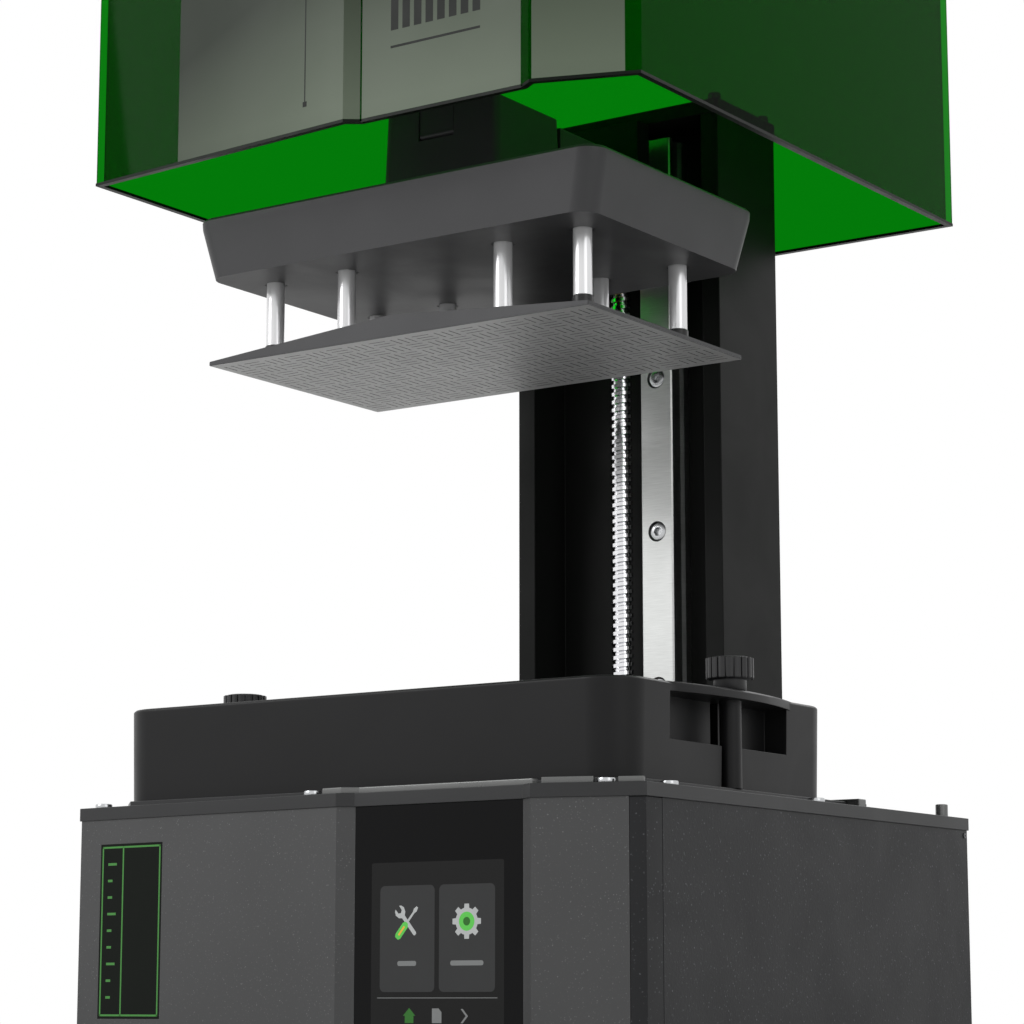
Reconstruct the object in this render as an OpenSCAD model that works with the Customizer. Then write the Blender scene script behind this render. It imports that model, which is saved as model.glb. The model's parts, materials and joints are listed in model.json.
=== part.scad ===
// Desktop resin printer: a base with a light engine and a curing screen, a resin vat,
// a column that lifts a sprung build platform, and a lift-off cover.
// X runs along the width, Y from front to back and Z up. The origin is on the table
// under the middle of the base.

/* [Base] */
// Width of the base, the top plate and the cover
body_w = 327.4; // [300:0.1:400]
// Depth of the base, the top plate and the cover
body_d = 334.2; // [320:0.1:400]
// Height of the top plate's surface above the table
base_h = 147; // [135:0.5:180]
// Thickness of the base's walls
wall_t = 2.4; // [1.6:0.1:3]
// How far the walls stand in from the top plate's edge
wall_inset = 0.8; // [0.5:0.1:1.5]
// Thickness of the top plate
top_plate_t = 6.3; // [5:0.1:9]
// Height of the raised deck that carries the vat
deck_h = 3; // [2:0.1:5]
// How far the deck stands in from the top plate's sides
deck_inset = 12.7; // [11:0.1:14]
// Height of the rubber feet
foot_h = 8; // [6:0.5:15]
// Radius of the rubber feet
foot_r = 11; // [8:0.5:16]

/* [Front] */
// How far the left end of the left front panel is set back
left_setback = 13.8; // [8:0.1:20]
// How far the right end of the right facet is set back
right_setback = 18.3; // [12:0.1:24]
// Middle of the screen recess across the width
recess_x = 61.2; // [50:0.1:70]
// Width of the screen recess
recess_w = 92.9; // [86:0.1:105]
// Depth of the screen recess
recess_depth = 5; // [3:0.1:8]
// Width of the slope on each side of the screen recess
bevel_w = 7; // [5:0.1:10]
// Width of the corner post on the right facet
corner_post_w = 8; // [6:0.1:16]
// Length of the corner post along the side
corner_post_len = 14.2; // [10:0.1:20]
// Thickness of the front glass
front_glass_t = 1.2; // [0.8:0.1:2]
// Width of the touch display
display_w = 73; // [60:0.5:80]
// Height of the touch display
display_h = 92; // [70:0.5:100]
// Distance from the top plate's surface down to the top of the display
display_drop = 32.2; // [28:0.1:35]

/* [Vat] */
// Width of the vat at its top
vat_w = 297; // [292:0.5:300]
// Depth of the vat at its top
vat_d = 193; // [186:0.5:194]
// Height of the vat
vat_h = 45.4; // [40:0.1:56]
// How much narrower each side of the vat is at its foot
vat_draft = 1; // [0:0.1:3]
// Width of the opening in the vat
well_w = 246; // [240:0.5:250]
// Depth of the opening in the vat
well_d = 160; // [147:0.1:164]
// Distance of each thumb screw from the middle
knob_x = 147; // [145:0.1:147.5]
// Diameter of the thumb screws' heads
knob_dia = 22.5; // [18:0.1:23]
// Height of the thumb screws' heads
knob_h = 10.8; // [9:0.1:15]

/* [Column] */
// Width of the column
tower_w = 130; // [120:0.5:150]
// Depth of the column
tower_d = 61.8; // [58:0.1:70]
// Distance from the column's back to the back of the base
tower_back_gap = 19.2; // [12:0.1:25]
// Height of the column above the top plate, with its cap
tower_h = 388; // [380:0.5:396]
// Depth of the recess in the column's front
tower_recess = 30; // [28:0.1:34]
// Width of each front lip of the column
tower_lip = 10.7; // [8:0.1:14]
// Thickness of the column's cap
cap_t = 8; // [6:0.1:12]
// Middle of the guide rail across the width
rail_x = 17.2; // [15:0.1:20]
// Width of the guide rail
rail_w = 20; // [15:0.1:21]
// Height of the guide rail above its seat
rail_h = 18; // [15:0.1:20]
// Middle of the lead screw across the width
screw_x = -7; // [-12:0.1:-6]
// Diameter of the lead screw
screw_dia = 12; // [10:0.1:12]
// Distance from the recess's back to the lead screw's axis
screw_stand = 15.2; // [14:0.1:18]

/* [Platform] */
// Height of the platform's face above the deck at the top of its travel
platform_lift = 221.2; // [200:0.1:221.5]
// Width of the platform's face plate
face_w = 230; // [215:0.1:230]
// Depth of the platform's face plate
face_d = 141; // [130:0.1:142]
// Thickness of the face plate at its two ends
face_edge_t = 2.2; // [1.2:0.1:3]
// Thickness of the face plate at its ridge
face_ridge_t = 11; // [8:0.1:14]
// Height from the platform's face to the housing
post_gap = 45.1; // [38:0.1:50]
// Diameter of the guide posts
post_dia = 9.3; // [8:0.1:10]
// Distance from the middle to the inner posts
post_x_inner = 48; // [40:0.1:55]
// Distance from the middle to the outer posts
post_x_outer = 94.3; // [85:0.1:97]
// Distance from the middle to each row of posts
post_y = 43.3; // [38:0.1:46]
// Height of the platform housing
housing_h = 31.3; // [28:0.1:36]
// Width of the platform housing at its foot
housing_foot_w = 232; // [230:0.1:236]
// Depth of the platform housing at its foot
housing_foot_d = 144.6; // [140:0.1:150]
// How much wider the platform housing is near its top
housing_flare_w = 13.2; // [0:0.1:16]
// How much deeper the platform housing is near its top
housing_flare_d = 6.9; // [0:0.1:16]
// Width of the mounting block on the housing
block_w = 68.8; // [60:0.1:76]
// Depth of the mounting block
block_d = 61.3; // [55:0.1:70]
// Height of the mounting block
block_h = 51.4; // [46:0.1:52]

/* [Cover] */
// Height of the cover
cover_h = 401; // [400:0.5:440]
// Thickness of the cover's walls
cover_t = 3; // [2:0.1:4]
// Thickness of the cover's top
cover_top_t = 4; // [3:0.1:6]
// How high the cover is lifted above the top plate
cover_lift = 318.4; // [0:0.1:400]
// Height of the dark rim at the cover's foot
cover_rim_h = 2; // [1:0.1:4]
// Thickness of the printed layer in the cover's front
print_t = 0.4; // [0.2:0.05:0.8]
// Distance from the middle to the left end of the printed layer
print_left = 103.7; // [90:0.1:120]
// Width of the clear margin at the right end of the printed layer
print_margin = 7; // [4:0.1:12]

/* [Hidden] */

fine = 64;       // facets of the bores and shafts
blend = 32;      // facets of the corners inside hulls
slip = 0.05;     // radial clearance of a running fit
gap = 0.3;       // clearance between parts that pass each other
seat = 0.1;      // clearance under a part that turns on a face
eps = 0.01;      // overcut of a tool past the face it opens

// Places along the depth
y_front = -body_d / 2;
y_rear = body_d / 2;
platform_y = y_front + 119;
tower_y1 = y_rear - tower_back_gap;
tower_y0 = tower_y1 - tower_d;
recess_back_y = tower_y0 + tower_recess;
rail_y0 = recess_back_y - rail_h;
screw_y = recess_back_y - screw_stand;

// Heights
plate_z0 = base_h - top_plate_t;
deck_z = base_h + deck_h;
floor_z0 = foot_h;
floor_t = 2;
wall_z0 = floor_z0 + floor_t;
vat_z1 = deck_z + vat_h;
tower_z1 = base_h + tower_h;
cap_z0 = tower_z1 - cap_t;
face_z = deck_z + platform_lift;
housing_z0 = face_z + post_gap;
housing_z1 = housing_z0 + housing_h;
block_z1 = housing_z1 + block_h;
cover_z0 = base_h + cover_lift;

// Plan outline of the top plate and the cover
recess_x0 = recess_x - recess_w / 2;
recess_x1 = recess_x + recess_w / 2;
facet_start = 0.5;
outline = [
    [-body_w / 2, y_front + left_setback],
    [recess_x0 - bevel_w, y_front],
    [recess_x0, y_front + recess_depth],
    [recess_x1, y_front + recess_depth],
    [recess_x1 + bevel_w, y_front + facet_start],
    [body_w / 2, y_front + right_setback],
    [body_w / 2, y_rear],
    [-body_w / 2, y_rear]];

function unit(v) = v / norm(v);
function inward(a, b) = let (u = unit(b - a)) [-u[1], u[0]];

// The outline p moved inwards by d on every side
function inset(p, d) = let (n = len(p)) [for (i = [0:n - 1])
    let (n1 = inward(p[(i + n - 1) % n], p[i]), n2 = inward(p[i], p[(i + 1) % n]))
    p[i] + d * (n1 + n2) / (1 + n1 * n2)];

wall_outline = inset(outline, wall_inset);
facet_along = unit(outline[5] - outline[4]);
facet_inward = inward(outline[4], outline[5]);

// Where the right facet is cut, at a distance d from the corner, and the line across it there
facet_reach = 25;
function facet_cut(d) = outline[5] - d * facet_along;
function facet_line(d) = [facet_cut(d) - facet_reach * facet_inward,
    facet_cut(d) + facet_reach * facet_inward];

module slab(points, z0, z1) {
    translate([0, 0, z0]) linear_extrude(z1 - z0) polygon(points);
}

module ring(points, t, z0, z1) {
    translate([0, 0, z0]) linear_extrude(z1 - z0) difference() {
        polygon(points);
        polygon(inset(points, t));
    }
}

// A box given by its two corners
module box(a, b) {
    translate(a) cube(b - a);
}

// A plate with rounded corners, centred on x and y
module round_slab(w, d, r, z0, z1) {
    for (x = [-w / 2 + r, w / 2 - r], y = [-d / 2 + r, d / 2 - r])
        translate([x, y, z0]) cylinder(r = r, h = z1 - z0, $fn = blend);
}

module at_corners(x, y) {
    for (i = [-x, x], j = [-y, y]) translate([i, j, 0]) children();
}

// A socket screw's head, with its hexagon
module socket_head(r, h) {
    difference() {
        cylinder(r = r, h = h, $fn = fine);
        translate([0, 0, h / 2]) cylinder(r = r / 2, h = h, $fn = 6);
    }
}

// ---------------------------------------------------------------- base

fascia_zone = concat(
    [outline[0] - [facet_reach, facet_reach]],
    facet_line(corner_post_w),
    [outline[0] + [facet_reach, facet_reach]]);
corner_post_y1 = y_front + right_setback + corner_post_len;
corner_zone = concat(
    [facet_line(corner_post_w)[1], facet_line(corner_post_w)[0]],
    [[body_w, y_front - facet_reach], [body_w, corner_post_y1], [body_w / 2 - facet_reach,
        corner_post_y1]]);

module zone(points) {
    slab(points, 0, base_h);
}

// Openings in the back wall
inlet_x = 112;
inlet_z = 48;
inlet_w = 28;
inlet_hole_h = 20;
switch_x = 70;
switch_w = 13.4;
switch_hole_h = 19.4;
usb_x = 20;
usb_z = 48;
usb_w = 15;
usb_hole_h = 8;
fan_x = -92;
fan_z = 78;
fan_size = 60;
fan_t = 15;
fan_slots = 9;
fan_slot_w = 3;
fan_slot_pitch = 6;
vent_x = 95;
vent_z = 95;
vent_slots = 10;
vent_len = 26;

back_y1 = y_rear - wall_inset;
back_y0 = back_y1 - wall_t;

module back_hole(x, z, w, h) {
    box([x - w / 2, back_y0 - 1, z - h / 2], [x + w / 2, back_y1 + 1, z + h / 2]);
}

module back_openings() {
    back_hole(inlet_x, inlet_z, inlet_w, inlet_hole_h);
    back_hole(switch_x, inlet_z, switch_w, switch_hole_h);
    back_hole(usb_x, usb_z, usb_w, usb_hole_h);
    for (i = [0:fan_slots - 1]) {
        x = (i - (fan_slots - 1) / 2) * fan_slot_pitch;
        back_hole(fan_x + x, fan_z, fan_slot_w, 2 * sqrt(pow(fan_size / 2 - 2, 2) - x * x));
    }
    for (i = [0:vent_slots - 1])
        back_hole(vent_x + (i - (vent_slots - 1) / 2) * fan_slot_pitch, vent_z, fan_slot_w, vent_len);
}

module base_shell() {
    color("#3a3b3e") difference() {
        ring(wall_outline, wall_t, wall_z0, plate_z0);
        zone(fascia_zone);
        zone(corner_zone);
        back_openings();
    }
}

display_x0 = recess_x - 0.2 - display_w / 2;
display_x1 = display_x0 + display_w;
display_z1 = base_h - display_drop;
display_z0 = display_z1 - display_h;
display_t = 5;
glass_y0 = y_front + recess_depth + wall_inset;
glass_y1 = glass_y0 + front_glass_t;
fascia_t = wall_t + 1;

module front_fascia() {
    color("#55565a") difference() {
        intersection() {
            ring(wall_outline, fascia_t, wall_z0, plate_z0);
            zone(fascia_zone);
        }
        box([recess_x0, glass_y0 - 1, 0], [recess_x1, glass_y1, base_h]);
        box([display_x0 - gap, glass_y0, display_z0 - gap],
            [display_x1 + gap, glass_y1 + fascia_t, display_z1 + gap]);
        badge_pocket();
    }
}

module corner_post() {
    color("#4a4b4e") intersection() {
        ring(wall_outline, fascia_t, wall_z0, plate_z0);
        zone(corner_zone);
    }
}

floor_slots = 6;
floor_slot_len = 50;
standoff_h = 8;

module bottom_plate() {
    color("#303134") difference() {
        slab(wall_outline, floor_z0, wall_z0);
        for (i = [0:floor_slots - 1])
            box([-floor_slot_len / 2, platform_y + (i - 2.5) * 12 - 2, 0],
                [floor_slot_len / 2, platform_y + (i - 2.5) * 12 + 2, base_h]);
    }
}

foot_inset = 30;

module rubber_feet() {
    color("#161616") at_corners(body_w / 2 - foot_inset, body_d / 2 - foot_inset) difference() {
        union() {
            cylinder(r1 = foot_r - 1, r2 = foot_r, h = 1, $fn = fine);
            translate([0, 0, 1]) cylinder(r = foot_r, h = foot_h - 1, $fn = fine);
        }
        translate([0, 0, -eps]) cylinder(r = foot_r / 3, h = foot_h / 2, $fn = fine);
    }
}

deck_x = body_w / 2 - deck_inset;
deck_y0 = platform_y - vat_d / 2 - 1.5;
deck_y1 = tower_y0 - 8;
deck_corner = 14;
deck_outline = [
    [-deck_x + deck_corner, deck_y0], [deck_x - deck_corner, deck_y0], [deck_x, deck_y0 + deck_corner],
    [deck_x, deck_y1], [-deck_x, deck_y1], [-deck_x, deck_y0 + deck_corner]];
screen_w = 228;
screen_d = 130;
screen_glass_w = 240;
screen_glass_d = 142;
screen_glass_t = 1.6;
motor_boss_r = 11;
vat_screw_r = 2.45;
thread_hole_r = vat_screw_r + slip;

module top_plate() {
    color("#2b2c2e") difference() {
        union() {
            slab(outline, plate_z0, base_h);
            slab(deck_outline, base_h - eps, deck_z);
        }
        translate([0, platform_y, 0]) {
            box([-screen_w / 2, -screen_d / 2, 0], [screen_w / 2, screen_d / 2, deck_z + 1]);
            box([-screen_glass_w / 2, -screen_glass_d / 2, deck_z - screen_glass_t],
                [screen_glass_w / 2, screen_glass_d / 2, deck_z + 1]);
        }
        for (x = [-knob_x, knob_x])
            translate([x, platform_y, plate_z0 - 1]) cylinder(r = thread_hole_r, h = deck_z, $fn = fine);
        translate([screw_x, screw_y, plate_z0 - 1]) cylinder(r = motor_boss_r + slip, h = deck_z,
            $fn = fine);
    }
}

plate_screw_r = 4.2;
plate_screw_h = 2.4;
plate_screw_inset = 8;
plate_screw_places = [
    [body_w / 2 - 21.5, y_front + 19.6],
    [-body_w / 2 + plate_screw_inset, y_front + 22.5],
    [-13.3, y_front + 9.5],
    [body_w / 2 - plate_screw_inset, y_front + 50],
    [body_w / 2 - plate_screw_inset, y_front + 184.5],
    [-body_w / 2 + plate_screw_inset, y_front + 184.5],
    [body_w / 2 - 50, y_rear - 10],
    [-body_w / 2 + 50, y_rear - 10]];

module top_plate_screws() {
    color("#8d8f92") for (p = plate_screw_places)
        translate([p[0], p[1], base_h]) socket_head(plate_screw_r, plate_screw_h);
}

locator_h = 3.1;
locator_inset = 5.6;
locator_d = 3.4;
side_locator_h = 4.3;
side_locator_len = 24;
side_locator_y0 = y_front + 224;
side_locator_y1 = y_front + 231.3;
rear_post_h = 6.8;
rear_post_r = 3.2;
rear_post_y = y_rear - 15;
ledge_x0 = -5.7;

// A stop along the right facet, from one distance to another from the facet's start
module facet_stop(a, b, h) {
    from = outline[4] + locator_inset * facet_inward;
    slab([from + a * facet_along, from + b * facet_along, from + b * facet_along + locator_d * facet_inward,
        from + a * facet_along + locator_d * facet_inward], base_h, base_h + h);
}

// Low stops on the top plate that centre the cover
module cover_locators() {
    near = inset(outline, locator_inset);
    far = inset(outline, locator_inset + locator_d);
    slope = (near[1][1] - near[0][1]) / (near[1][0] - near[0][0]);
    color("#9a9c9f") {
        slab([[ledge_x0, near[1][1] + slope * (ledge_x0 - near[1][0])], near[1], near[2], near[3],
            far[3], far[2],
            far[1], [ledge_x0, far[1][1] + slope * (ledge_x0 - far[1][0])]], base_h, base_h + locator_h);
        facet_stop(3.8, 27.3, locator_h);
        facet_stop(38.3, 49.8, locator_h - 0.3);
        for (s = [-1, 1]) {
            translate([s * (body_w / 2 - locator_inset), 0, 0]) scale([s, 1, 1]) {
                box([-side_locator_len, side_locator_y0, deck_z],
                    [0, side_locator_y1, base_h + side_locator_h]);
                box([locator_inset - deck_inset, side_locator_y0, base_h],
                    [0, side_locator_y1, base_h + side_locator_h]);
            }
            translate([s * (body_w / 2 - 8), rear_post_y, base_h]) cylinder(r = rear_post_r,
                h = rear_post_h, $fn = fine);
        }
    }
}

side_screw_r = 1.4;
side_screw_t = 0.5;

side_screw_places = [[y_rear - 4, plate_z0 - 2.8], [y_rear - 4, wall_z0 + 12],
    [y_front + 60, wall_z0 + 12]];

module side_screws() {
    color("#77797c") for (s = [-1, 1], p = side_screw_places)
        translate([s * (body_w / 2 - wall_inset), p[0], p[1]]) rotate([0, s * 90, 0]) difference() {
            cylinder(r = side_screw_r, h = side_screw_t, $fn = fine);
            translate([0, 0, side_screw_t / 2]) cylinder(r = side_screw_r / 2.4, h = 1, $fn = 6);
        }
}

module front_glass() {
    color("#08090b") box([recess_x0, glass_y0, wall_z0], [recess_x1, glass_y1, plate_z0]);
}

module touch_display() {
    color("#202226") box([display_x0, glass_y1, display_z0], [display_x1, glass_y1 + display_t,
        display_z1]);
}

badge_x0 = -148.5;
badge_x1 = -105.5;
badge_drop = 18.2;
badge_h = 84;
badge_t = 0.8;
left_panel_angle = -atan2(left_setback, body_w / 2 + recess_x0 - bevel_w);
left_panel_inward = inward(outline[0], outline[1]);

module on_left_panel() {
    translate([outline[0][0], outline[0][1], 0]) rotate(left_panel_angle)
        translate([0, wall_inset, 0]) children();
}

module badge_solid() {
    on_left_panel() box([badge_x0 + body_w / 2, 0, base_h - badge_drop - badge_h],
        [badge_x1 + body_w / 2, badge_t, base_h - badge_drop]);
}

module badge_pocket() {
    badge_solid();
    on_left_panel() box([badge_x0 + body_w / 2, -1, base_h - badge_drop - badge_h],
        [badge_x1 + body_w / 2, eps, base_h - badge_drop]);
}

module badge_plate() {
    color("#2c3a2c") badge_solid();
}

// ---------------------------------------------------------------- light engine

mask_t = 2;

module mask_screen() {
    color("#0b1014") translate([0, platform_y, 0])
        box([-screen_w / 2 + gap, -screen_d / 2 + gap, deck_z - screen_glass_t - mask_t],
            [screen_w / 2 - gap, screen_d / 2 - gap, deck_z - screen_glass_t]);
}

module screen_glass() {
    color("#1a2228") translate([0, platform_y, 0])
        box([-screen_glass_w / 2 + seat, -screen_glass_d / 2 + seat, deck_z - screen_glass_t],
            [screen_glass_w / 2 - seat, screen_glass_d / 2 - seat, deck_z - seat / 2]);
}

led_z = 62;
led_board_t = 2;
led_size = 64;
light_t = 1.5;
light_flange = 8;
light_flange_t = 2.4;
lens_t = 2;
light_mouth = 50;

module frustum(w0, d0, w1, d1, z0, z1) {
    hull() {
        box([-w0 / 2, -d0 / 2, z0], [w0 / 2, d0 / 2, z0 + eps]);
        box([-w1 / 2, -d1 / 2, z1 - eps], [w1 / 2, d1 / 2, z1]);
    }
}

module light_box() {
    color("#c9ccd0") translate([0, platform_y, 0]) difference() {
        union() {
            frustum(light_mouth, light_mouth, screen_w, screen_d, led_z, plate_z0 - light_flange_t);
            box([-screen_w / 2 - light_flange, -screen_d / 2 - light_flange, plate_z0 - light_flange_t],
                [screen_w / 2 + light_flange, screen_d / 2 + light_flange, plate_z0]);
            box([-led_size / 2, -led_size / 2, led_z], [led_size / 2, led_size / 2, led_z + light_t]);
        }
        frustum(light_mouth - 2 * light_t, light_mouth - 2 * light_t, screen_w - 2 * light_t,
            screen_d - 2 * light_t, led_z - eps, plate_z0 - light_flange_t + eps);
        box([-screen_w / 2 + light_t, -screen_d / 2 + light_t, plate_z0 - light_flange_t],
            [screen_w / 2 - light_t, screen_d / 2 - light_t, plate_z0 + 1]);
        box([-screen_w / 2, -screen_d / 2, plate_z0 - lens_t], [screen_w / 2, screen_d / 2, plate_z0 + 1]);
    }
}

module collimating_lens() {
    color("#dfe8ef") translate([0, platform_y, 0])
        box([-screen_w / 2 + gap, -screen_d / 2 + gap, plate_z0 - lens_t],
            [screen_w / 2 - gap, screen_d / 2 - gap, plate_z0 - seat]);
}

led_r = 11;

module led_board() {
    color("#e8e6d8") translate([0, platform_y, 0]) {
        box([-led_size / 2, -led_size / 2, led_z - led_board_t], [led_size / 2, led_size / 2, led_z]);
        translate([0, 0, led_z]) cylinder(r = led_r, h = 1.6, $fn = fine);
    }
}

sink_size = 84;
sink_base_t = 6;
sink_fins = 12;
sink_fin_t = 2;
sink_z0 = 22;
sink_top_z = led_z - led_board_t;

module heat_sink() {
    color("#a9adb2") translate([0, platform_y, 0]) {
        box([-sink_size / 2, -sink_size / 2, sink_top_z - sink_base_t],
            [sink_size / 2, sink_size / 2, sink_top_z]);
        for (i = [0:sink_fins - 1]) {
            x = -sink_size / 2 + i * (sink_size - sink_fin_t) / (sink_fins - 1);
            box([x, -sink_size / 2, sink_z0], [x + sink_fin_t, sink_size / 2,
                sink_top_z - sink_base_t + eps]);
        }
        at_corners(sink_size / 2 - 6, sink_size / 2 - 6)
            translate([0, 0, wall_z0]) cylinder(r = 3.5, h = sink_z0 - wall_z0 + 1, $fn = fine);
    }
}

// ---------------------------------------------------------------- electrics

fan_bore_r = 28;
fan_hub_r = 12;
fan_hub_t = 3;
fan_pin_r = 1.5;
fan_blades = 7;
fan_blade_t = 1.4;
fan_blade_pitch = 38;
fan_y0 = back_y0 - fan_t;

module on_fan_axis() {
    translate([fan_x, fan_y0, fan_z]) rotate([-90, 0, 0]) children();
}

module fan_frame() {
    color("#17181a") on_fan_axis() {
        difference() {
            box([-fan_size / 2, -fan_size / 2, 0], [fan_size / 2, fan_size / 2, fan_t]);
            translate([0, 0, -1]) cylinder(r = fan_bore_r, h = fan_t + 2, $fn = fine);
            at_corners(fan_size / 2 - 5, fan_size / 2 - 5)
                translate([0, 0, -1]) cylinder(r = 2.2, h = fan_t + 2, $fn = fine);
        }
        difference() {
            union() {
                cylinder(r = fan_hub_r, h = fan_hub_t, $fn = fine);
                for (a = [30, 150, 270]) rotate(a) box([0, -2, 0], [fan_bore_r + 1, 2, fan_hub_t]);
            }
            translate([0, 0, -1]) cylinder(r = fan_pin_r + slip, h = fan_hub_t + 2, $fn = fine);
        }
    }
}

module fan_rotor() {
    color("#232427") on_fan_axis() {
        translate([0, 0, fan_hub_t + gap]) cylinder(r = fan_hub_r, h = fan_t - fan_hub_t - 1.5, $fn = fine);
        translate([0, 0, gap]) cylinder(r = fan_pin_r, h = fan_hub_t + 1, $fn = fine);
        for (i = [0:fan_blades - 1]) rotate(i * 360 / fan_blades)
            translate([0, 0, (fan_t + fan_hub_t) / 2 - 0.6]) rotate([fan_blade_pitch, 0, 0])
                box([fan_hub_r - 1.5, -fan_blade_t / 2, -5], [fan_bore_r - 2, fan_blade_t / 2, 5]);
    }
}

board_a = [-152, platform_y - 60];
board_b = [-62, platform_y + 75];
board_t = 1.6;
board_z = wall_z0 + standoff_h;

module mainboard() {
    color("#1d4a2e") {
        difference() {
            box([board_a[0], board_a[1], board_z], [board_b[0], board_b[1], board_z + board_t]);
            translate([board_a[0] + 45, board_a[1] + 67, 0]) at_corners(38, 60)
                cylinder(r = 1.6, h = base_h, $fn = fine);
        }
        for (i = [0:3]) box([board_a[0] + 12 + i * 17, board_b[1] - 40, board_z + board_t],
            [board_a[0] + 24 + i * 17, board_b[1] - 28, board_z + 8]);
        for (i = [0:5]) box([board_a[0] + 3, board_a[1] + 12 + i * 18, board_z + board_t],
            [board_a[0] + 10, board_a[1] + 24 + i * 18, board_z + 9]);
        box([board_a[0] + 30, board_a[1] + 40, board_z + board_t], [board_a[0] + 52, board_a[1] + 62,
            board_z + 4]);
        translate([board_a[0] + 45, board_a[1] + 67, wall_z0]) at_corners(38, 60) difference() {
            cylinder(r = 3, h = standoff_h, $fn = fine);
            translate([0, 0, 1]) cylinder(r = 1.6, h = standoff_h, $fn = fine);
        }
    }
}

supply_a = [60, -10];
supply_b = [150, 122];
supply_h = 40;
supply_slots = 9;

module power_supply() {
    color("#b4b7ba") difference() {
        box([supply_a[0], supply_a[1], wall_z0], [supply_b[0], supply_b[1], wall_z0 + supply_h]);
        for (i = [0:supply_slots - 1])
            box([supply_a[0] + 12 + i * 8, supply_a[1] + 14, wall_z0 + supply_h - 3],
                [supply_a[0] + 15 + i * 8, supply_b[1] - 30, wall_z0 + supply_h + 1]);
        box([supply_a[0] + 8, supply_b[1] - 16, wall_z0 + 22], [supply_b[0] - 8, supply_b[1] + 1,
            wall_z0 + supply_h + 1]);
    }
}

flange_t = 0.7;
inlet_flange = [34, 30];
inlet_depth = 22;
inlet_wall = 2;
inlet_pins = [[-7, -1.5], [0, 3.5], [7, -1.5]];

module power_inlet() {
    color("#141414") translate([inlet_x, back_y1, inlet_z]) {
        difference() {
            union() {
                box([-inlet_flange[0] / 2, 0, -inlet_flange[1] / 2],
                    [inlet_flange[0] / 2, flange_t, inlet_flange[1] / 2]);
                box([-inlet_w / 2 + seat, -inlet_depth, -inlet_hole_h / 2 + seat],
                    [inlet_w / 2 - seat, eps, inlet_hole_h / 2 - seat]);
            }
            box([-inlet_w / 2 + inlet_wall, -inlet_depth + 3, -inlet_hole_h / 2 + inlet_wall],
                [inlet_w / 2 - inlet_wall, flange_t + 1, inlet_hole_h / 2 - inlet_wall]);
        }
        for (p = inlet_pins) box([p[0] - 1, -inlet_depth + 2, p[1] - 2], [p[0] + 1, -4, p[1] + 2]);
    }
}

rocker_w = 9.6;
rocker_half = 7.3;
rocker_r = 6;
rocker_pin_r = 1.2;
rocker_tip = 0.5;

module switch_frame() {
    color("#141414") translate([switch_x, back_y1, inlet_z]) difference() {
        union() {
            box([-switch_w / 2 - 2, 0, -switch_hole_h / 2 - 2],
                [switch_w / 2 + 2, flange_t, switch_hole_h / 2 + 2]);
            box([-switch_w / 2 + seat, -16, -switch_hole_h / 2 + seat],
                [switch_w / 2 - seat, eps, switch_hole_h / 2 - seat]);
        }
        box([-rocker_w / 2 - gap, -13, -rocker_half - 1.4], [rocker_w / 2 + gap, flange_t + 1,
            rocker_half + 1.4]);
        translate([0, -rocker_r, 0]) rotate([0, 90, 0])
            cylinder(r = rocker_pin_r + slip, h = switch_w - 1.2, center = true, $fn = fine);
    }
}

module switch_rocker() {
    color("#b3251f") translate([switch_x, back_y1 - rocker_r, inlet_z]) rotate([0, 90, 0]) {
        translate([0, 0, -rocker_w / 2]) linear_extrude(rocker_w)
            polygon([[-rocker_half, rocker_r - 2.4], [-rocker_half, rocker_r + rocker_tip - 0.6],
                [0, rocker_r - 1.6], [rocker_half, rocker_r + rocker_tip - 2.2], [rocker_half,
                    rocker_r - 4],
                [2.5, -3], [-2.5, -3]]);
        cylinder(r = rocker_pin_r, h = switch_w - 1.6, center = true, $fn = fine);
    }
}

module usb_port() {
    color("#c2c5c8") translate([usb_x, back_y1, usb_z]) {
        difference() {
            box([-usb_w / 2 + seat, -14, -usb_hole_h / 2 + seat], [usb_w / 2 - seat, 0,
                usb_hole_h / 2 - seat]);
            box([-usb_w / 2 + 0.8, -12, -usb_hole_h / 2 + 0.8], [usb_w / 2 - 0.8, 1, usb_hole_h / 2 - 0.8]);
        }
        box([-usb_w / 2 + 1.8, -13, 0.4], [usb_w / 2 - 1.8, -2, 2.4]);
    }
}

// ---------------------------------------------------------------- vat

vat_corner = 20;
vat_lip = 4.4;
lip_reach = 8;
lip_half = 58;
lip_steps = 16;
lip_bevel = 1;
frame_t = 2.6;
frame_w = 258;
frame_d = 170;
film_t = 0.2;
film_lift = 0.05;
wall_foot_x = vat_w / 2 - vat_draft;
grip_z0 = deck_z + 19.5;
grip_z1 = vat_z1 - vat_lip;
grip_y0 = platform_y - 55.4;
grip_y1 = platform_y + 50.8;
grip_depth = 11.5;
grip_x = wall_foot_x - grip_depth;
channel_y0 = platform_y - 9.6;
channel_y1 = platform_y + 7;
slot_y0 = platform_y + 0.2;
slot_depth = 9;
sleeve_r = 5.2;
well_corner = 8;

module vat_solid() {
    hull() {
        round_slab(vat_w - 2 * vat_draft, vat_d - 2 * vat_draft, vat_corner - vat_draft, deck_z,
            deck_z + 1);
        round_slab(vat_w, vat_d, vat_corner, vat_z1 - 2, vat_z1 - 1);
        round_slab(vat_w - 2, vat_d - 2, vat_corner - 1, vat_z1 - 1, vat_z1);
    }
}

// The grip, the screw's channel and the slot behind it in the vat's right wall
module vat_side_cuts() {
    box([grip_x, grip_y0, grip_z0], [body_w, grip_y1, grip_z1]);
    box([grip_x, channel_y0, deck_z - 1], [body_w, channel_y1, grip_z0 + eps]);
    box([grip_x - slot_depth, slot_y0, grip_z0], [grip_x + eps, channel_y1, grip_z1]);
}

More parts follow.
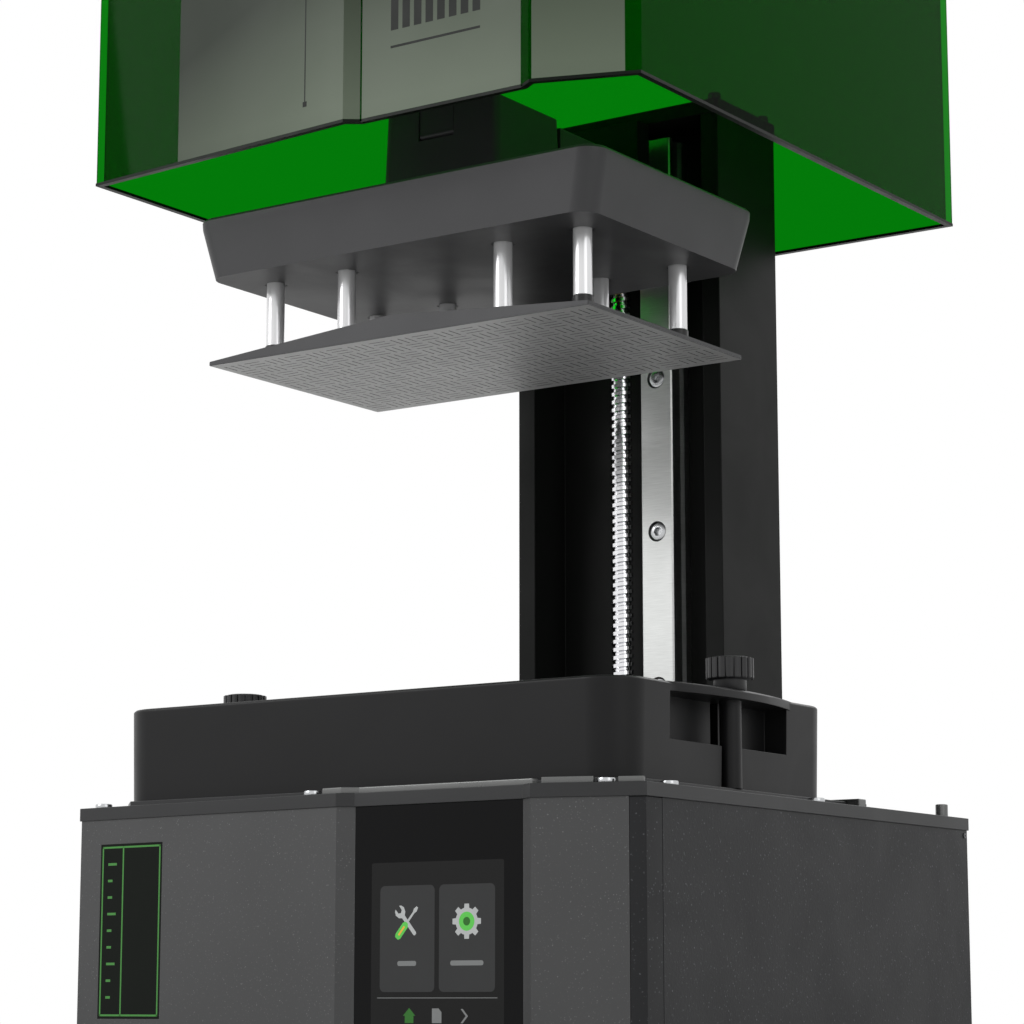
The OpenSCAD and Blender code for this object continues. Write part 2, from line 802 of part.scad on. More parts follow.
// The lip over the right grip, which swells out round the thumb screw
function lip_line(reach) = concat([[grip_x, platform_y - lip_half], [grip_x, platform_y + lip_half]],
    [for (i = [lip_steps:-1:0]) let (t = 2 * i / lip_steps - 1)
        [vat_w / 2 - lip_bevel + reach * (1 - t * t), platform_y + t * lip_half]]);

module vat_lip_swell() {
    hull() {
        slab(lip_line(lip_reach + lip_bevel), grip_z1, vat_z1 - lip_bevel);
        slab(lip_line(lip_reach), grip_z1, vat_z1);
    }
}

module vat_body() {
    color("#1b1b1c") difference() {
        union() {
            difference() {
                translate([0, platform_y, 0]) vat_solid();
                vat_side_cuts();
                mirror([1, 0, 0]) vat_side_cuts();
            }
            vat_lip_swell();
            mirror([1, 0, 0]) vat_lip_swell();
            for (x = [-knob_x, knob_x])
                translate([x, platform_y, deck_z]) cylinder(r = sleeve_r, h = vat_h, $fn = fine);
        }
        translate([0, platform_y, deck_z - 1]) linear_extrude(vat_h + 2) {
            square([well_w - 2 * well_corner, well_d], center = true);
            square([well_w, well_d - 2 * well_corner], center = true);
            at_corners(well_w / 2 - well_corner, well_d / 2 - well_corner) circle(r = well_corner,
                $fn = fine);
        }
        translate([0, platform_y, 0]) box([-frame_w / 2 - gap, -frame_d / 2 - gap, deck_z - 1],
            [frame_w / 2 + gap, frame_d / 2 + gap, deck_z + film_lift + film_t + frame_t]);
        for (x = [-knob_x, knob_x])
            translate([x, platform_y, 0]) cylinder(r = thread_hole_r, h = vat_z1 + 1, $fn = fine);
    }
}

module vat_film() {
    color("#cfd8dc") translate([0, platform_y, deck_z + film_lift])
        box([-frame_w / 2, -frame_d / 2, 0], [frame_w / 2, frame_d / 2, film_t]);
}

frame_screws = 9;

module vat_film_frame() {
    color("#9fa3a8") translate([0, platform_y, deck_z + film_lift + film_t]) difference() {
        box([-frame_w / 2, -frame_d / 2, 0], [frame_w / 2, frame_d / 2, frame_t]);
        box([-well_w / 2 + 3, -well_d / 2 + 0.7, -1], [well_w / 2 - 3, well_d / 2 - 0.7, frame_t + 1]);
    }
}

knob_ribs = 20;
knob_rib_r = 1.1;
collar_r = 7.75;
collar_h = 5.5;

module thumb_knob() {
    translate([0, 0, vat_z1 + seat]) cylinder(r = collar_r, h = collar_h, $fn = fine);
    translate([0, 0, vat_z1 + seat + collar_h]) {
        difference() {
            union() {
                cylinder(r = knob_dia / 2 - 0.6, h = knob_h - 1, $fn = fine);
                translate([0, 0, knob_h - 1 - eps])
                    cylinder(r1 = knob_dia / 2 - 0.6, r2 = knob_dia / 2 - 2, h = 1, $fn = fine);
            }
            translate([0, 0, knob_h - 1.2]) cylinder(r = knob_dia / 2 - 4, h = 2, $fn = fine);
        }
        for (i = [0:knob_ribs - 1]) rotate(i * 360 / knob_ribs)
            translate([knob_dia / 2 - knob_rib_r, 0, 0.6]) cylinder(r = knob_rib_r, h = knob_h - 2,
                $fn = 16);
    }
}

module thumb_screw() {
    translate([0, 0, plate_z0]) cylinder(r = vat_screw_r, h = vat_z1 + seat - plate_z0, $fn = fine);
}

module left_thumb_knob() {
    color("#1a1a1a") translate([-knob_x, platform_y, 0]) thumb_knob();
}

module right_thumb_knob() {
    color("#1a1a1a") translate([knob_x, platform_y, 0]) thumb_knob();
}

module left_thumb_screw() {
    color("#8b8e92") translate([-knob_x, platform_y, 0]) thumb_screw();
}

module right_thumb_screw() {
    color("#8b8e92") translate([knob_x, platform_y, 0]) thumb_screw();
}

// ---------------------------------------------------------------- column

tower_wall = 3;
cap_screw_r = 3.6;
cap_screw_h = 4;
cap_screw_inset = 5.2;

module tower_body() {
    color("#1f2022") difference() {
        box([-tower_w / 2, tower_y0, base_h], [tower_w / 2, tower_y1, cap_z0]);
        box([-tower_w / 2 + tower_lip, tower_y0 - 1, base_h - 1], [tower_w / 2 - tower_lip,
            recess_back_y, cap_z0 + 1]);
        box([-tower_w / 2 + tower_lip, recess_back_y + 2 * tower_wall, base_h - 1],
            [tower_w / 2 - tower_lip, tower_y1 - tower_wall, cap_z0 + 1]);
    }
}

module tower_cap() {
    chamfer = 1;
    color("#1b1c1e") difference() {
        box([-tower_w / 2, tower_y0, cap_z0], [tower_w / 2, tower_y1, tower_z1]);
        for (s = [-1, 1]) translate([s * tower_w / 2, 0, tower_z1]) rotate([0, 45, 0])
            cube([chamfer, body_d, chamfer], center = true);
    }
}

module tower_cap_screws() {
    color("#606265") translate([0, (tower_y0 + tower_y1) / 2, tower_z1])
        at_corners(tower_w / 2 - cap_screw_inset, tower_d / 2 - cap_screw_inset)
            socket_head(cap_screw_r, cap_screw_h);
}

rail_z0 = base_h + 25;
rail_z1 = cap_z0 - 5;
rail_hole_pitch = 84.4;
rail_hole_z = base_h + 71.6;
rail_holes = 4;
rail_counterbore_r = 5.5;
rail_counterbore = 5;
rail_groove = 3;
rail_waist = 1.6;

module rail_profile() {
    h0 = 5;
    polygon([
        [-rail_w / 2, 0], [rail_w / 2, 0], [rail_w / 2, h0], [rail_w / 2 - rail_waist, h0 + 2],
        [rail_w / 2 - rail_waist, rail_h - rail_groove - 3], [rail_w / 2, rail_h - rail_groove],
        [rail_w / 2, rail_h - 0.8], [rail_w / 2 - 0.8, rail_h], [-rail_w / 2 + 0.8, rail_h],
        [-rail_w / 2, rail_h - 0.8], [-rail_w / 2, rail_h - rail_groove],
        [-rail_w / 2 + rail_waist, rail_h - rail_groove - 3], [-rail_w / 2 + rail_waist, h0 + 2],
        [-rail_w / 2, h0]]);
}

module at_rail_holes() {
    for (i = [0:rail_holes - 1])
        translate([rail_x, rail_y0, rail_hole_z + i * rail_hole_pitch]) rotate([-90, 0, 0]) children();
}

module guide_rail() {
    color("#c3c6c9") difference() {
        translate([rail_x, recess_back_y, rail_z0]) rotate([0, 0, 180]) linear_extrude(rail_z1 - rail_z0)
            rail_profile();
        at_rail_holes() {
            translate([0, 0, -1]) cylinder(r = rail_counterbore_r, h = rail_counterbore + 1, $fn = fine);
            cylinder(r = 3, h = rail_h + 1, $fn = fine);
        }
    }
}

module rail_screws() {
    color("#a9acb0") at_rail_holes() {
        translate([0, 0, 0.6]) difference() {
            cylinder(r = rail_counterbore_r - 0.4, h = rail_counterbore - 0.6, $fn = fine);
            translate([0, 0, -1]) cylinder(r = 2.4, h = 3.4, $fn = 6);
        }
        translate([0, 0, rail_counterbore - eps]) cylinder(r = 2.8, h = rail_h - rail_counterbore,
            $fn = fine);
    }
}

// Heights of the carriage at the top of its travel
carriage_z0 = housing_z0 + 25.7;
rail_block_h = 44;
rail_block_w = 30;
rail_block_foot = 4;
plate_t = 12;
plate_back_y = tower_y0 - 1;
plate_front_y = plate_back_y - plate_t;

module rail_block() {
    slot = rail_w + 2 * seat;
    color("#8f9398") difference() {
        box([rail_x - rail_block_w / 2, plate_back_y, carriage_z0],
            [rail_x + rail_block_w / 2, recess_back_y - rail_block_foot, carriage_z0 + rail_block_h]);
        box([rail_x - slot / 2, rail_y0 - seat, carriage_z0 - 1],
            [rail_x + slot / 2, recess_back_y, carriage_z0 + rail_block_h + 1]);
    }
}

motor_size = 42.3;
motor_h = 40;
shaft_r = 2.5;
motor_boss_h = 2;

module stepper_motor() {
    z0 = plate_z0 - motor_h;
    color("#2a2b2d") translate([screw_x, screw_y, 0]) difference() {
        union() {
            box([-motor_size / 2, -motor_size / 2, z0], [motor_size / 2, motor_size / 2, plate_z0]);
            translate([0, 0, plate_z0 - eps]) cylinder(r = motor_boss_r, h = motor_boss_h, $fn = fine);
        }
        for (i = [0:3]) rotate(i * 90) translate([motor_size / 2, motor_size / 2, z0 - 1]) rotate(45)
            cube([5, 5, 3 * motor_h], center = true);
        translate([0, 0, plate_z0 - 12]) cylinder(r = shaft_r + slip, h = 30, $fn = fine);
    }
}

module motor_shaft() {
    color("#b9bcc0") translate([screw_x, screw_y, plate_z0 - 11.5])
        cylinder(r = shaft_r, h = coupling_mid_z - plate_z0 + 11, $fn = fine);
}

coupling_z0 = base_h + 5;
coupling_mid_z = base_h + 18;
coupling_z1 = base_h + 29;
coupling_r = 9.5;
screw_z0 = coupling_mid_z;
screw_z1 = cap_z0 - 8;
screw_r = screw_dia / 2;

module shaft_coupling() {
    color("#9da0a4") translate([screw_x, screw_y, 0]) difference() {
        translate([0, 0, coupling_z0]) cylinder(r = coupling_r, h = coupling_z1 - coupling_z0, $fn = fine);
        cylinder(r = shaft_r, h = coupling_mid_z, $fn = fine);
        translate([0, 0, coupling_mid_z - eps]) cylinder(r = screw_r, h = coupling_z1, $fn = fine);
    }
}

module lead_screw() {
    color("#d4d6d8") translate([screw_x, screw_y, screw_z0]) cylinder(r = screw_r,
        h = screw_z1 - screw_z0, $fn = fine);
}

bearing_w = 22;
bearing_h = 10;
lower_bearing_z = base_h + 33;
upper_bearing_z = cap_z0 - 20;

// Two pillow blocks that hold the lead screw to the back of the recess
module screw_bearings() {
    color("#3a3c3f") for (z = [lower_bearing_z, upper_bearing_z]) difference() {
        box([screw_x - bearing_w / 2, screw_y - bearing_w / 2, z], [screw_x + bearing_w / 2,
            recess_back_y, z + bearing_h]);
        translate([screw_x, screw_y, z - 1]) cylinder(r = screw_r + slip, h = bearing_h + 2, $fn = fine);
    }
}

nut_w = 17.6;
nut_h = 32;

module screw_nut() {
    color("#b08d57") difference() {
        box([screw_x - nut_w / 2, plate_back_y, carriage_z0], [screw_x + nut_w / 2,
            screw_y + nut_w / 2, carriage_z0 + nut_h]);
        translate([screw_x, screw_y, 0]) cylinder(r = screw_r + slip, h = tower_z1, $fn = fine);
    }
}

plate_x0 = -38;
plate_x1 = 22.5;
plate_top_z = cap_z0 - 1;
flag_x = -36;

// The plate on the rail block, with the flag for the limit sensor
module carriage_plate() {
    color("#26272a") {
        box([plate_x0, plate_front_y, carriage_z0], [plate_x1, plate_back_y, plate_top_z]);
        box([flag_x, plate_back_y - eps, carriage_z0], [flag_x + 1.2, recess_back_y - 8, carriage_z0 + 10]);
    }
}

sensor_z = base_h + 48;

module limit_sensor() {
    color("#101113") difference() {
        box([flag_x - 5, recess_back_y - 18, sensor_z], [flag_x + 6.2, recess_back_y, sensor_z + 12]);
        box([flag_x - 1, recess_back_y - 19, sensor_z + 3], [flag_x + 2.2, recess_back_y - 5,
            sensor_z + 13]);
    }
}

// ---------------------------------------------------------------- arm and platform

block_y0 = platform_y - 1.6 - block_d / 2;
block_y1 = block_y0 + block_d;
arm_t = 5;
arm_z1 = block_z1 - 3.5;
arm_z0 = housing_z1 + 4;
block_draft = 1.4;
block_corner = 5;

module z_arm() {
    color("#232426") difference() {
        box([-block_w / 2, block_y1, arm_z0], [block_w / 2, plate_front_y, arm_z1]);
        box([-block_w / 2 + arm_t, block_y1 + arm_t, arm_z0 - 1], [block_w / 2 - arm_t,
            plate_front_y - arm_t, arm_z1 - arm_t]);
    }
}

latch_x = -1.6;
latch_w = 21.9;
latch_h = 17.6;
latch_t = 4.4;
latch_pin_r = 1;
latch_pin_z = block_z1 - latch_h + 2.9;
latch_pin_y = block_y0 + block_draft + latch_t / 2;
latch_line = 0.45;

module mounting_block() {
    color("#232426") difference() {
        translate([0, (block_y0 + block_y1) / 2, 0]) hull() {
            round_slab(block_w + 2 * block_draft, block_d, block_corner, housing_z1, housing_z1 + 1);
            round_slab(block_w, block_d - 2 * block_draft, block_corner, block_z1 - 1, block_z1);
        }
        box([latch_x - latch_w / 2, block_y0 - 1, block_z1 - latch_h],
            [latch_x + latch_w / 2, block_y0 + block_draft + latch_t + latch_line, block_z1 + 1]);
        translate([latch_x, latch_pin_y, latch_pin_z]) rotate([0, 90, 0])
            cylinder(r = latch_pin_r, h = latch_w + 6, center = true, $fn = fine);
        translate([0, block_y1, 0]) box([-body_w, -block_draft, arm_z0], [body_w, 1, block_z1 + 1]);
    }
    color("#232426") box([-block_w / 2, block_y1 - block_draft, arm_z0], [block_w / 2, block_y1, arm_z1]);
}

module release_latch() {
    half = latch_w / 2 - latch_line;
    color("#2b2c2e") translate([latch_x, latch_pin_y, latch_pin_z]) difference() {
        union() {
            box([-half, -latch_t / 2 + 0.2, 0], [half, latch_t / 2, block_z1 - latch_pin_z]);
            rotate([0, 90, 0]) cylinder(r = latch_t / 2, h = 2 * half, center = true, $fn = fine);
        }
        rotate([0, 90, 0]) cylinder(r = latch_pin_r + slip, h = 3 * half, center = true, $fn = fine);
    }
}

module latch_pin() {
    color("#b4b6b9") translate([latch_x, latch_pin_y, latch_pin_z]) rotate([0, 90, 0])
        cylinder(r = latch_pin_r, h = latch_w + 5, center = true, $fn = fine);
}

housing_corner = 11;
housing_band = 5;
housing_bevel = 1.6;
housing_lid_t = 3;
housing_floor_t = 4;
housing_wall = 7;
bush_r = 5.8;
bush_h = 8;
post_r = post_dia / 2;

module at_posts() {
    for (x = [-post_x_outer, -post_x_inner, post_x_inner, post_x_outer], y = [-post_y, post_y])
        translate([x, platform_y + y, 0]) children();
}

module platform_housing() {
    lid_z = housing_z1 - housing_lid_t;
    top_w = housing_foot_w + housing_flare_w;
    top_d = housing_foot_d + housing_flare_d;
    color("#46474a") difference() {
        translate([0, platform_y, 0]) hull() {
            round_slab(housing_foot_w, housing_foot_d, housing_corner, housing_z0, housing_z0 + eps);
            round_slab(top_w - 0.4, top_d - 0.4, housing_corner, housing_z1 - housing_band,
                housing_z1 - housing_band + eps);
            round_slab(top_w, top_d, housing_corner, housing_z1 - housing_bevel - eps,
                housing_z1 - housing_bevel);
            round_slab(top_w - 2 * housing_bevel, top_d - 2 * housing_bevel, housing_corner - housing_bevel,
                housing_z1 - eps, housing_z1);
        }
        translate([0, platform_y, 0]) box([-housing_foot_w / 2 + housing_wall,
            -housing_foot_d / 2 + housing_wall,
            housing_z0 + housing_floor_t], [housing_foot_w / 2 - housing_wall,
                housing_foot_d / 2 - housing_wall, lid_z]);
        at_posts() translate([0, 0, housing_z0 - 1]) cylinder(r = bush_r, h = housing_floor_t + 2,
            $fn = fine);
    }
}

module post_bushes() {
    color("#3a3b3e") at_posts() translate([0, 0, housing_z0 + 0.2]) difference() {
        cylinder(r = bush_r, h = bush_h - 0.2, $fn = fine);
        translate([0, 0, -1]) cylinder(r = post_r + slip, h = bush_h + 2, $fn = fine);
    }
}

// Height of the face plate's roof at a distance x from its ridge
function roof_z(x) = face_z + face_ridge_t - (face_ridge_t - face_edge_t) * abs(x) / (face_w / 2);
cap_top_z = face_z + 12.3;
cap_r = post_r + 0.5;
collar_z0 = housing_z0 + bush_h + gap;
post_collar_h = 2.4;
post_collar_r = 8;
post_top_z = collar_z0 + post_collar_h + 3;

module guide_posts() {
    color("#dcdee0") at_posts() translate([0, 0, cap_top_z]) cylinder(r = post_r,
        h = post_top_z - cap_top_z, $fn = fine);
}

module post_collars() {
    color("#7d8084") at_posts() translate([0, 0, collar_z0]) difference() {
        cylinder(r = post_collar_r, h = post_collar_h, $fn = fine);
        translate([0, 0, -1]) cylinder(r = post_r, h = post_collar_h + 2, $fn = fine);
    }
}

module face_profile() {
    polygon([[-face_w / 2, 0], [face_w / 2, 0], [face_w / 2, face_edge_t], [0, face_ridge_t],
        [-face_w / 2, face_edge_t]]);
}

module face_plate() {
    color("#8c8f92") translate([0, platform_y + face_d / 2, face_z]) rotate([90, 0,
        0]) linear_extrude(face_d)
        face_profile();
}

module post_caps() {
    color("#151516") difference() {
        at_posts() translate([0, 0, face_z]) cylinder(r = cap_r, h = cap_top_z - face_z, $fn = fine);
        translate([0, platform_y + face_d / 2, face_z]) rotate([90, 0,
            0]) linear_extrude(face_d) face_profile();
    }
}

spring_turns = 4;
spring_steps = 10;
spring_sides = 6;
spring_wire_r = 0.7;
spring_r = post_r + 1.55;
spring_z0 = collar_z0 + post_collar_h;
spring_z1 = housing_z1 - housing_lid_t;

// One coil spring as a swept tube, closed at both ends
module coil_spring() {
    n = spring_turns * spring_steps;
    rise = (spring_z1 - spring_z0 - 2 * spring_wire_r - 2 * seat) / n;
    points = [for (i = [0:n], j = [0:spring_sides - 1])
        let (a = i * 360 / spring_steps, b = j * 360 / spring_sides, r = spring_r + spring_wire_r * cos(b))
        [r * cos(a), r * sin(a), i * rise + spring_wire_r * sin(b)]];
    sides = [for (i = [0:n - 1], j = [0:spring_sides - 1])
        let (k = (j + 1) % spring_sides)
        [i * spring_sides + j, (i + 1) * spring_sides + j, (i + 1) * spring_sides + k,
            i * spring_sides + k]];
    start_cap = [[for (j = [0:spring_sides - 1]) j]];
    end_cap = [[for (j = [spring_sides - 1:-1:0]) n * spring_sides + j]];
    polyhedron(points, concat(sides, start_cap, end_cap));
}

module plate_springs() {
    color("#c8cacc") at_posts() translate([0, 0, spring_z0 + spring_wire_r + seat]) coil_spring();
}

// ---------------------------------------------------------------- cover

print_zone = concat(
    [[-print_left, y_front - facet_reach]],
    facet_line(print_margin),
    [[-print_left, y_front + left_setback + facet_reach]]);
print_top_gap = 6;

module print_layer(t) {
    intersection() {
        ring(outline, t, cover_z0 + cover_rim_h, cover_z0 + cover_h - print_top_gap);
        slab(print_zone, cover_z0, cover_z0 + cover_h);
    }
}

module cover_shell() {
    color("#1f9a3a", 0.45) difference() {
        slab(outline, cover_z0, cover_z0 + cover_h);
        slab(inset(outline, cover_t), cover_z0 - 1, cover_z0 + cover_h - cover_top_t);
        print_layer(print_t);
    }
}

module cover_print() {
    color("#b9bfba") print_layer(print_t);
}

base_shell();
front_fascia();
corner_post();
bottom_plate();
rubber_feet();
top_plate();
top_plate_screws();
cover_locators();
side_screws();
front_glass();
touch_display();
badge_plate();
mask_screen();
screen_glass();
light_box();
collimating_lens();
led_board();
heat_sink();
fan_frame();
fan_rotor();
mainboard();
power_supply();
power_inlet();
switch_frame();
switch_rocker();
usb_port();
vat_body();
vat_film();
vat_film_frame();
left_thumb_knob();
left_thumb_screw();
right_thumb_knob();
right_thumb_screw();
tower_body();
tower_cap();
tower_cap_screws();
guide_rail();
rail_screws();
rail_block();
stepper_motor();
motor_shaft();
shaft_coupling();
lead_screw();
screw_bearings();
screw_nut();
carriage_plate();
limit_sensor();
z_arm();
mounting_block();
release_latch();
latch_pin();
platform_housing();
post_bushes();
post_collars();
guide_posts();
post_caps();
plate_springs();
face_plate();
cover_shell();
cover_print();
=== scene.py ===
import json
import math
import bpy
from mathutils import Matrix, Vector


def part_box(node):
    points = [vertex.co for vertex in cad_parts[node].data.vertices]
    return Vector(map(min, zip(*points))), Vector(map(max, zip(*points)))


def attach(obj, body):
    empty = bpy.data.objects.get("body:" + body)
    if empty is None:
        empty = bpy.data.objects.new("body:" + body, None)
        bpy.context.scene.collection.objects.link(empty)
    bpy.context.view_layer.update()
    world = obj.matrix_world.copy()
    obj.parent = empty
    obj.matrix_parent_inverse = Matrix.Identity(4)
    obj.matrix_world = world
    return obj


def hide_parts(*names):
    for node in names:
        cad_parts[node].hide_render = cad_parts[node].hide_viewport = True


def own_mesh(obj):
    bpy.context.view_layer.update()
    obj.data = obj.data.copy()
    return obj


bl_info = {
    "name": "Resin printer",
    "version": (1, 0, 0),
    "blender": (4, 5, 0),
    "location": "View3D > Sidebar > Printer",
    "description": "Finishes the packed resin printer: its metal, vat, platform, cover and display",
    "category": "Object",
}

import bmesh
import bpy
from bpy.props import FloatProperty, FloatVectorProperty, IntProperty, PointerProperty
from mathutils import Matrix, Vector

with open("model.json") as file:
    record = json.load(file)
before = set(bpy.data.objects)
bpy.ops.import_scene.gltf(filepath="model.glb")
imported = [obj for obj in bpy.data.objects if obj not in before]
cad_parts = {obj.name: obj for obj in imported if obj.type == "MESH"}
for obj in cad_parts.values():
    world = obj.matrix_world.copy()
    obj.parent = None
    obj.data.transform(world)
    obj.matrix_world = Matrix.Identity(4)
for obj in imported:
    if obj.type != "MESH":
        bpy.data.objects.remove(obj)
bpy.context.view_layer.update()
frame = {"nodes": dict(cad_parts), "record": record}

MM = 0.001
NODES = frame["nodes"]
BODY_OF = {n: b for b, ns in frame["record"]["behaviour"]["bodies"].items() for n in ns}
SLOT_OF = {s["node"]: s["material_slot"] for s in frame["record"]["subparts"]}
MATERIALS = {}


# ---------- settings

def colour(name, description, default):
    return FloatVectorProperty(name=name, description=description, subtype="COLOR", size=3, min=0, max=1,
                               default=default)


def length(name, description, default):
    return FloatProperty(name=name, description=description, default=default, unit="LENGTH", precision=5)


class PrinterMetalSettings(bpy.types.PropertyGroup):
    base_colour: colour("Base colour", "Powder coat of the base's side walls", (0.017, 0.0175, 0.019))
    fascia_colour: colour("Front colour", "Metallic coat of the front panels", (0.072, 0.0725, 0.0735))
    plate_colour: colour("Top plate colour", "Coat of the thick top plate", (0.036, 0.0365, 0.0375))
    column_colour: colour("Column colour", "Coat of the column and the carriage", (0.0075, 0.0080, 0.0075))
    housing_colour: colour("Housing colour", "Coat of the platform's housing", (0.050, 0.050, 0.052))
    grain_size: length("Grain size", "Size of a grain in the powder coat", 0.0007)
    edge_round: length("Edge rounding", "Radius of the rounded edges of the metal parts", 0.0005)


class PrinterVatSettings(bpy.types.PropertyGroup):
    vat_colour: colour("Vat colour", "Anodised coat of the vat", (0.0085, 0.0085, 0.009))
    knob_ribs: IntProperty(name="Knob ribs", description="Ribs round a thumb screw's head", default=18, min=8, max=40)
    rib_width: length("Rib width", "Width of a rib round a thumb screw's head", 0.0031)


class PrinterPlatformSettings(bpy.types.PropertyGroup):
    plate_colour: colour("Face plate colour", "Blasted aluminium of the face plate", (0.470, 0.470, 0.470))
    stroke_pitch: length("Stroke pitch", "Step from one engraved stroke to the next", 0.0044)
    stroke_width: length("Stroke width", "Width of an engraved stroke", 0.00055)
    stroke_depth: length("Stroke depth", "Depth of an engraved stroke", 0.0003)


class PrinterDriveSettings(bpy.types.PropertyGroup):
    lead: length("Screw lead", "Travel of the carriage for one turn of the screw", 0.0044)
    thread_depth: length("Thread depth", "Depth of the screw's thread", 0.0013)
    spring_turns: IntProperty(name="Spring turns", description="Turns of each spring", default=5, min=2, max=10)


class PrinterCoverSettings(bpy.types.PropertyGroup):
    tint: colour("Tint", "Tint of the transparent cover", (0.001, 0.190, 0.003))
    ink: colour("Ink", "Silver-green ink at the foot of the cover's front", (0.128, 0.158, 0.114))
    high_ink: colour("High ink", "The same ink high on the cover, where it fades", (0.012, 0.020, 0.010))
    rim: colour("Rim", "Dark line along the cover's foot", (0.003, 0.005, 0.003))


class PrinterScreenSettings(bpy.types.PropertyGroup):
    accent: colour("Accent", "Green of the icons and the badge's outline", (0.085, 0.40, 0.065))
    tile: colour("Tile", "Grey of the display's tiles", (0.026, 0.0265, 0.027))
    icon: colour("Icon", "Pale grey of the icons", (0.34, 0.35, 0.35))


class PrinterStageSettings(bpy.types.PropertyGroup):
    floor_colour: colour("Floor colour", "Pale floor under the printer", (0.80, 0.80, 0.79))
    key_power: FloatProperty(name="Key light", description="Power of the main soft light", default=34.0, min=0,
                             subtype="POWER")
    fill_power: FloatProperty(name="Fill light", description="Power of the soft light from the other side",
                              default=7.0, min=0, subtype="POWER")


SETTINGS = {
    "printer_metal": PrinterMetalSettings, "printer_vat": PrinterVatSettings,
    "printer_platform": PrinterPlatformSettings, "printer_drive": PrinterDriveSettings,
    "printer_cover": PrinterCoverSettings, "printer_screen": PrinterScreenSettings,
    "printer_stage": PrinterStageSettings,
}


# ---------- node helpers

MIX_FACTOR, MIX_A, MIX_B, MIX_RESULT = 0, 6, 7, 2


def feed(tree, node, values):
    """Sets inputs of a node, or links sockets to them."""
    for key, value in values.items():
        if hasattr(value, "is_output"):
            tree.links.new(value, node.inputs[key])
        else:
            node.inputs[key].default_value = value
    return node


def spaced(values):
    return {key.replace("_", " "): value for key, value in values.items()}


def add(tree, kind, inputs=(), **values):
    """A new node: lower-case values are its properties, the others its named inputs, and inputs its first ones."""
    node = tree.nodes.new(kind)
    for key, value in values.items():
        if key.islower():
            setattr(node, key, value)
    feed(tree, node, dict(enumerate(inputs)))
    return feed(tree, node, spaced({key: value for key, value in values.items() if not key.islower()}))


def group_with(kind, name, inputs, outputs):
    """An empty node group: its tree, its input sockets and the node for its outputs."""
    tree = bpy.data.node_groups.new(name, kind)
    for label, socket_type, *default in inputs:
        socket = tree.interface.new_socket(label, in_out="INPUT", socket_type="NodeSocket" + socket_type)
        if default:
            socket.default_value = default[0]
    for label, socket_type in outputs:
        tree.interface.new_socket(label, in_out="OUTPUT", socket_type="NodeSocket" + socket_type)
    return tree, tree.nodes.new("NodeGroupInput").outputs, tree.nodes.new("NodeGroupOutput")


def calc(tree, operation, *terms, clamp=False):
    """The result of a Math node; the terms are sockets or numbers."""
    return add(tree, "ShaderNodeMath", terms, operation=operation, use_clamp=clamp).outputs[0]


def ramp(tree, value, low, high):
    """The value mapped from low..high to 0..1, clamped."""
    return add(tree, "ShaderNodeMapRange", clamp=True, Value=value, From_Min=low, From_Max=high).outputs["Result"]


def between(tree, mask, limits):
    """The mask mapped from 0..1 to the two limits."""
    return calc(tree, "MULTIPLY_ADD", mask, limits[1] - limits[0], limits[0])


def blend_colours(tree, factor, a, b):
    """The colour between a and b; each is a colour or a socket."""
    a, b = (value if hasattr(value, "is_output") else (*value[:3], 1) for value in (a, b))
    node = add(tree, "ShaderNodeMix", data_type="RGBA")
    return feed(tree, node, {MIX_FACTOR: factor, MIX_A: a, MIX_B: b}).outputs[MIX_RESULT]


def noise(tree, vector, scale, detail, roughness, distortion=0.0):
    return add(tree, "ShaderNodeTexNoise", Vector=vector, Scale=scale, Detail=detail, Roughness=roughness,
               Distortion=distortion).outputs["Fac"]


def in_steps(tree, position, size):
    """The position counted in steps of a size."""
    return add(tree, "ShaderNodeVectorMath", [position], operation="SCALE",
               Scale=calc(tree, "DIVIDE", 1.0, size)).outputs[0]


# ---------- shader groups

def coat_grain_group():
    """Fine powder grain with bright flecks, and a slow drift in tone."""
    tree, given, out = group_with(
        "ShaderNodeTree", "Coat grain", [("Position", "Vector"), ("Grain", "Float", 0.0007), ("Fleck", "Float", 0.5)],
        [("Height", "Float"), ("Fleck", "Float"), ("Tone", "Float")])
    scaled = in_steps(tree, given["Position"], given["Grain"])
    fine = noise(tree, scaled, 1.0, 3.0, 0.6)
    cells = add(tree, "ShaderNodeTexVoronoi", Vector=scaled, Scale=0.8, Randomness=1.0).outputs["Distance"]
    speck = calc(tree, "MULTIPLY", ramp(tree, cells, 0.34, 0.10), ramp(tree, fine, 0.52, 0.66))
    feed(tree, out, {"Height": calc(tree, "ADD", fine, calc(tree, "MULTIPLY", speck, 0.4)),
                     "Fleck": calc(tree, "MULTIPLY", speck, given["Fleck"]),
                     "Tone": ramp(tree, noise(tree, given["Position"], 9.0, 3.0, 0.5), 0.3, 0.7)})


def brushing_group():
    """Fine straight brush lines; the position comes in stretched along them."""
    tree, given, out = group_with("ShaderNodeTree", "Brushing", [("Stretched", "Vector")],
                                  [("Height", "Float"), ("Line", "Float")])
    fine = noise(tree, given["Stretched"], 1.0, 4.0, 0.65)
    feed(tree, out, {"Height": fine, "Line": ramp(tree, fine, 0.35, 0.65)})


def handling_marks_group():
    """Soft handling marks and a trace of dust, as masks."""
    tree, given, out = group_with(
        "ShaderNodeTree", "Handling marks", [("Position", "Vector"), ("Size", "Float", 0.03)],
        [("Smudge", "Float"), ("Dust", "Float")])
    scaled = in_steps(tree, given["Position"], given["Size"])
    feed(tree, out, {"Smudge": ramp(tree, noise(tree, scaled, 1.0, 5.0, 0.62, 0.6), 0.38, 0.72),
                     "Dust": ramp(tree, noise(tree, scaled, 22.0, 2.0, 0.5), 0.66, 0.80)})


# ---------- materials

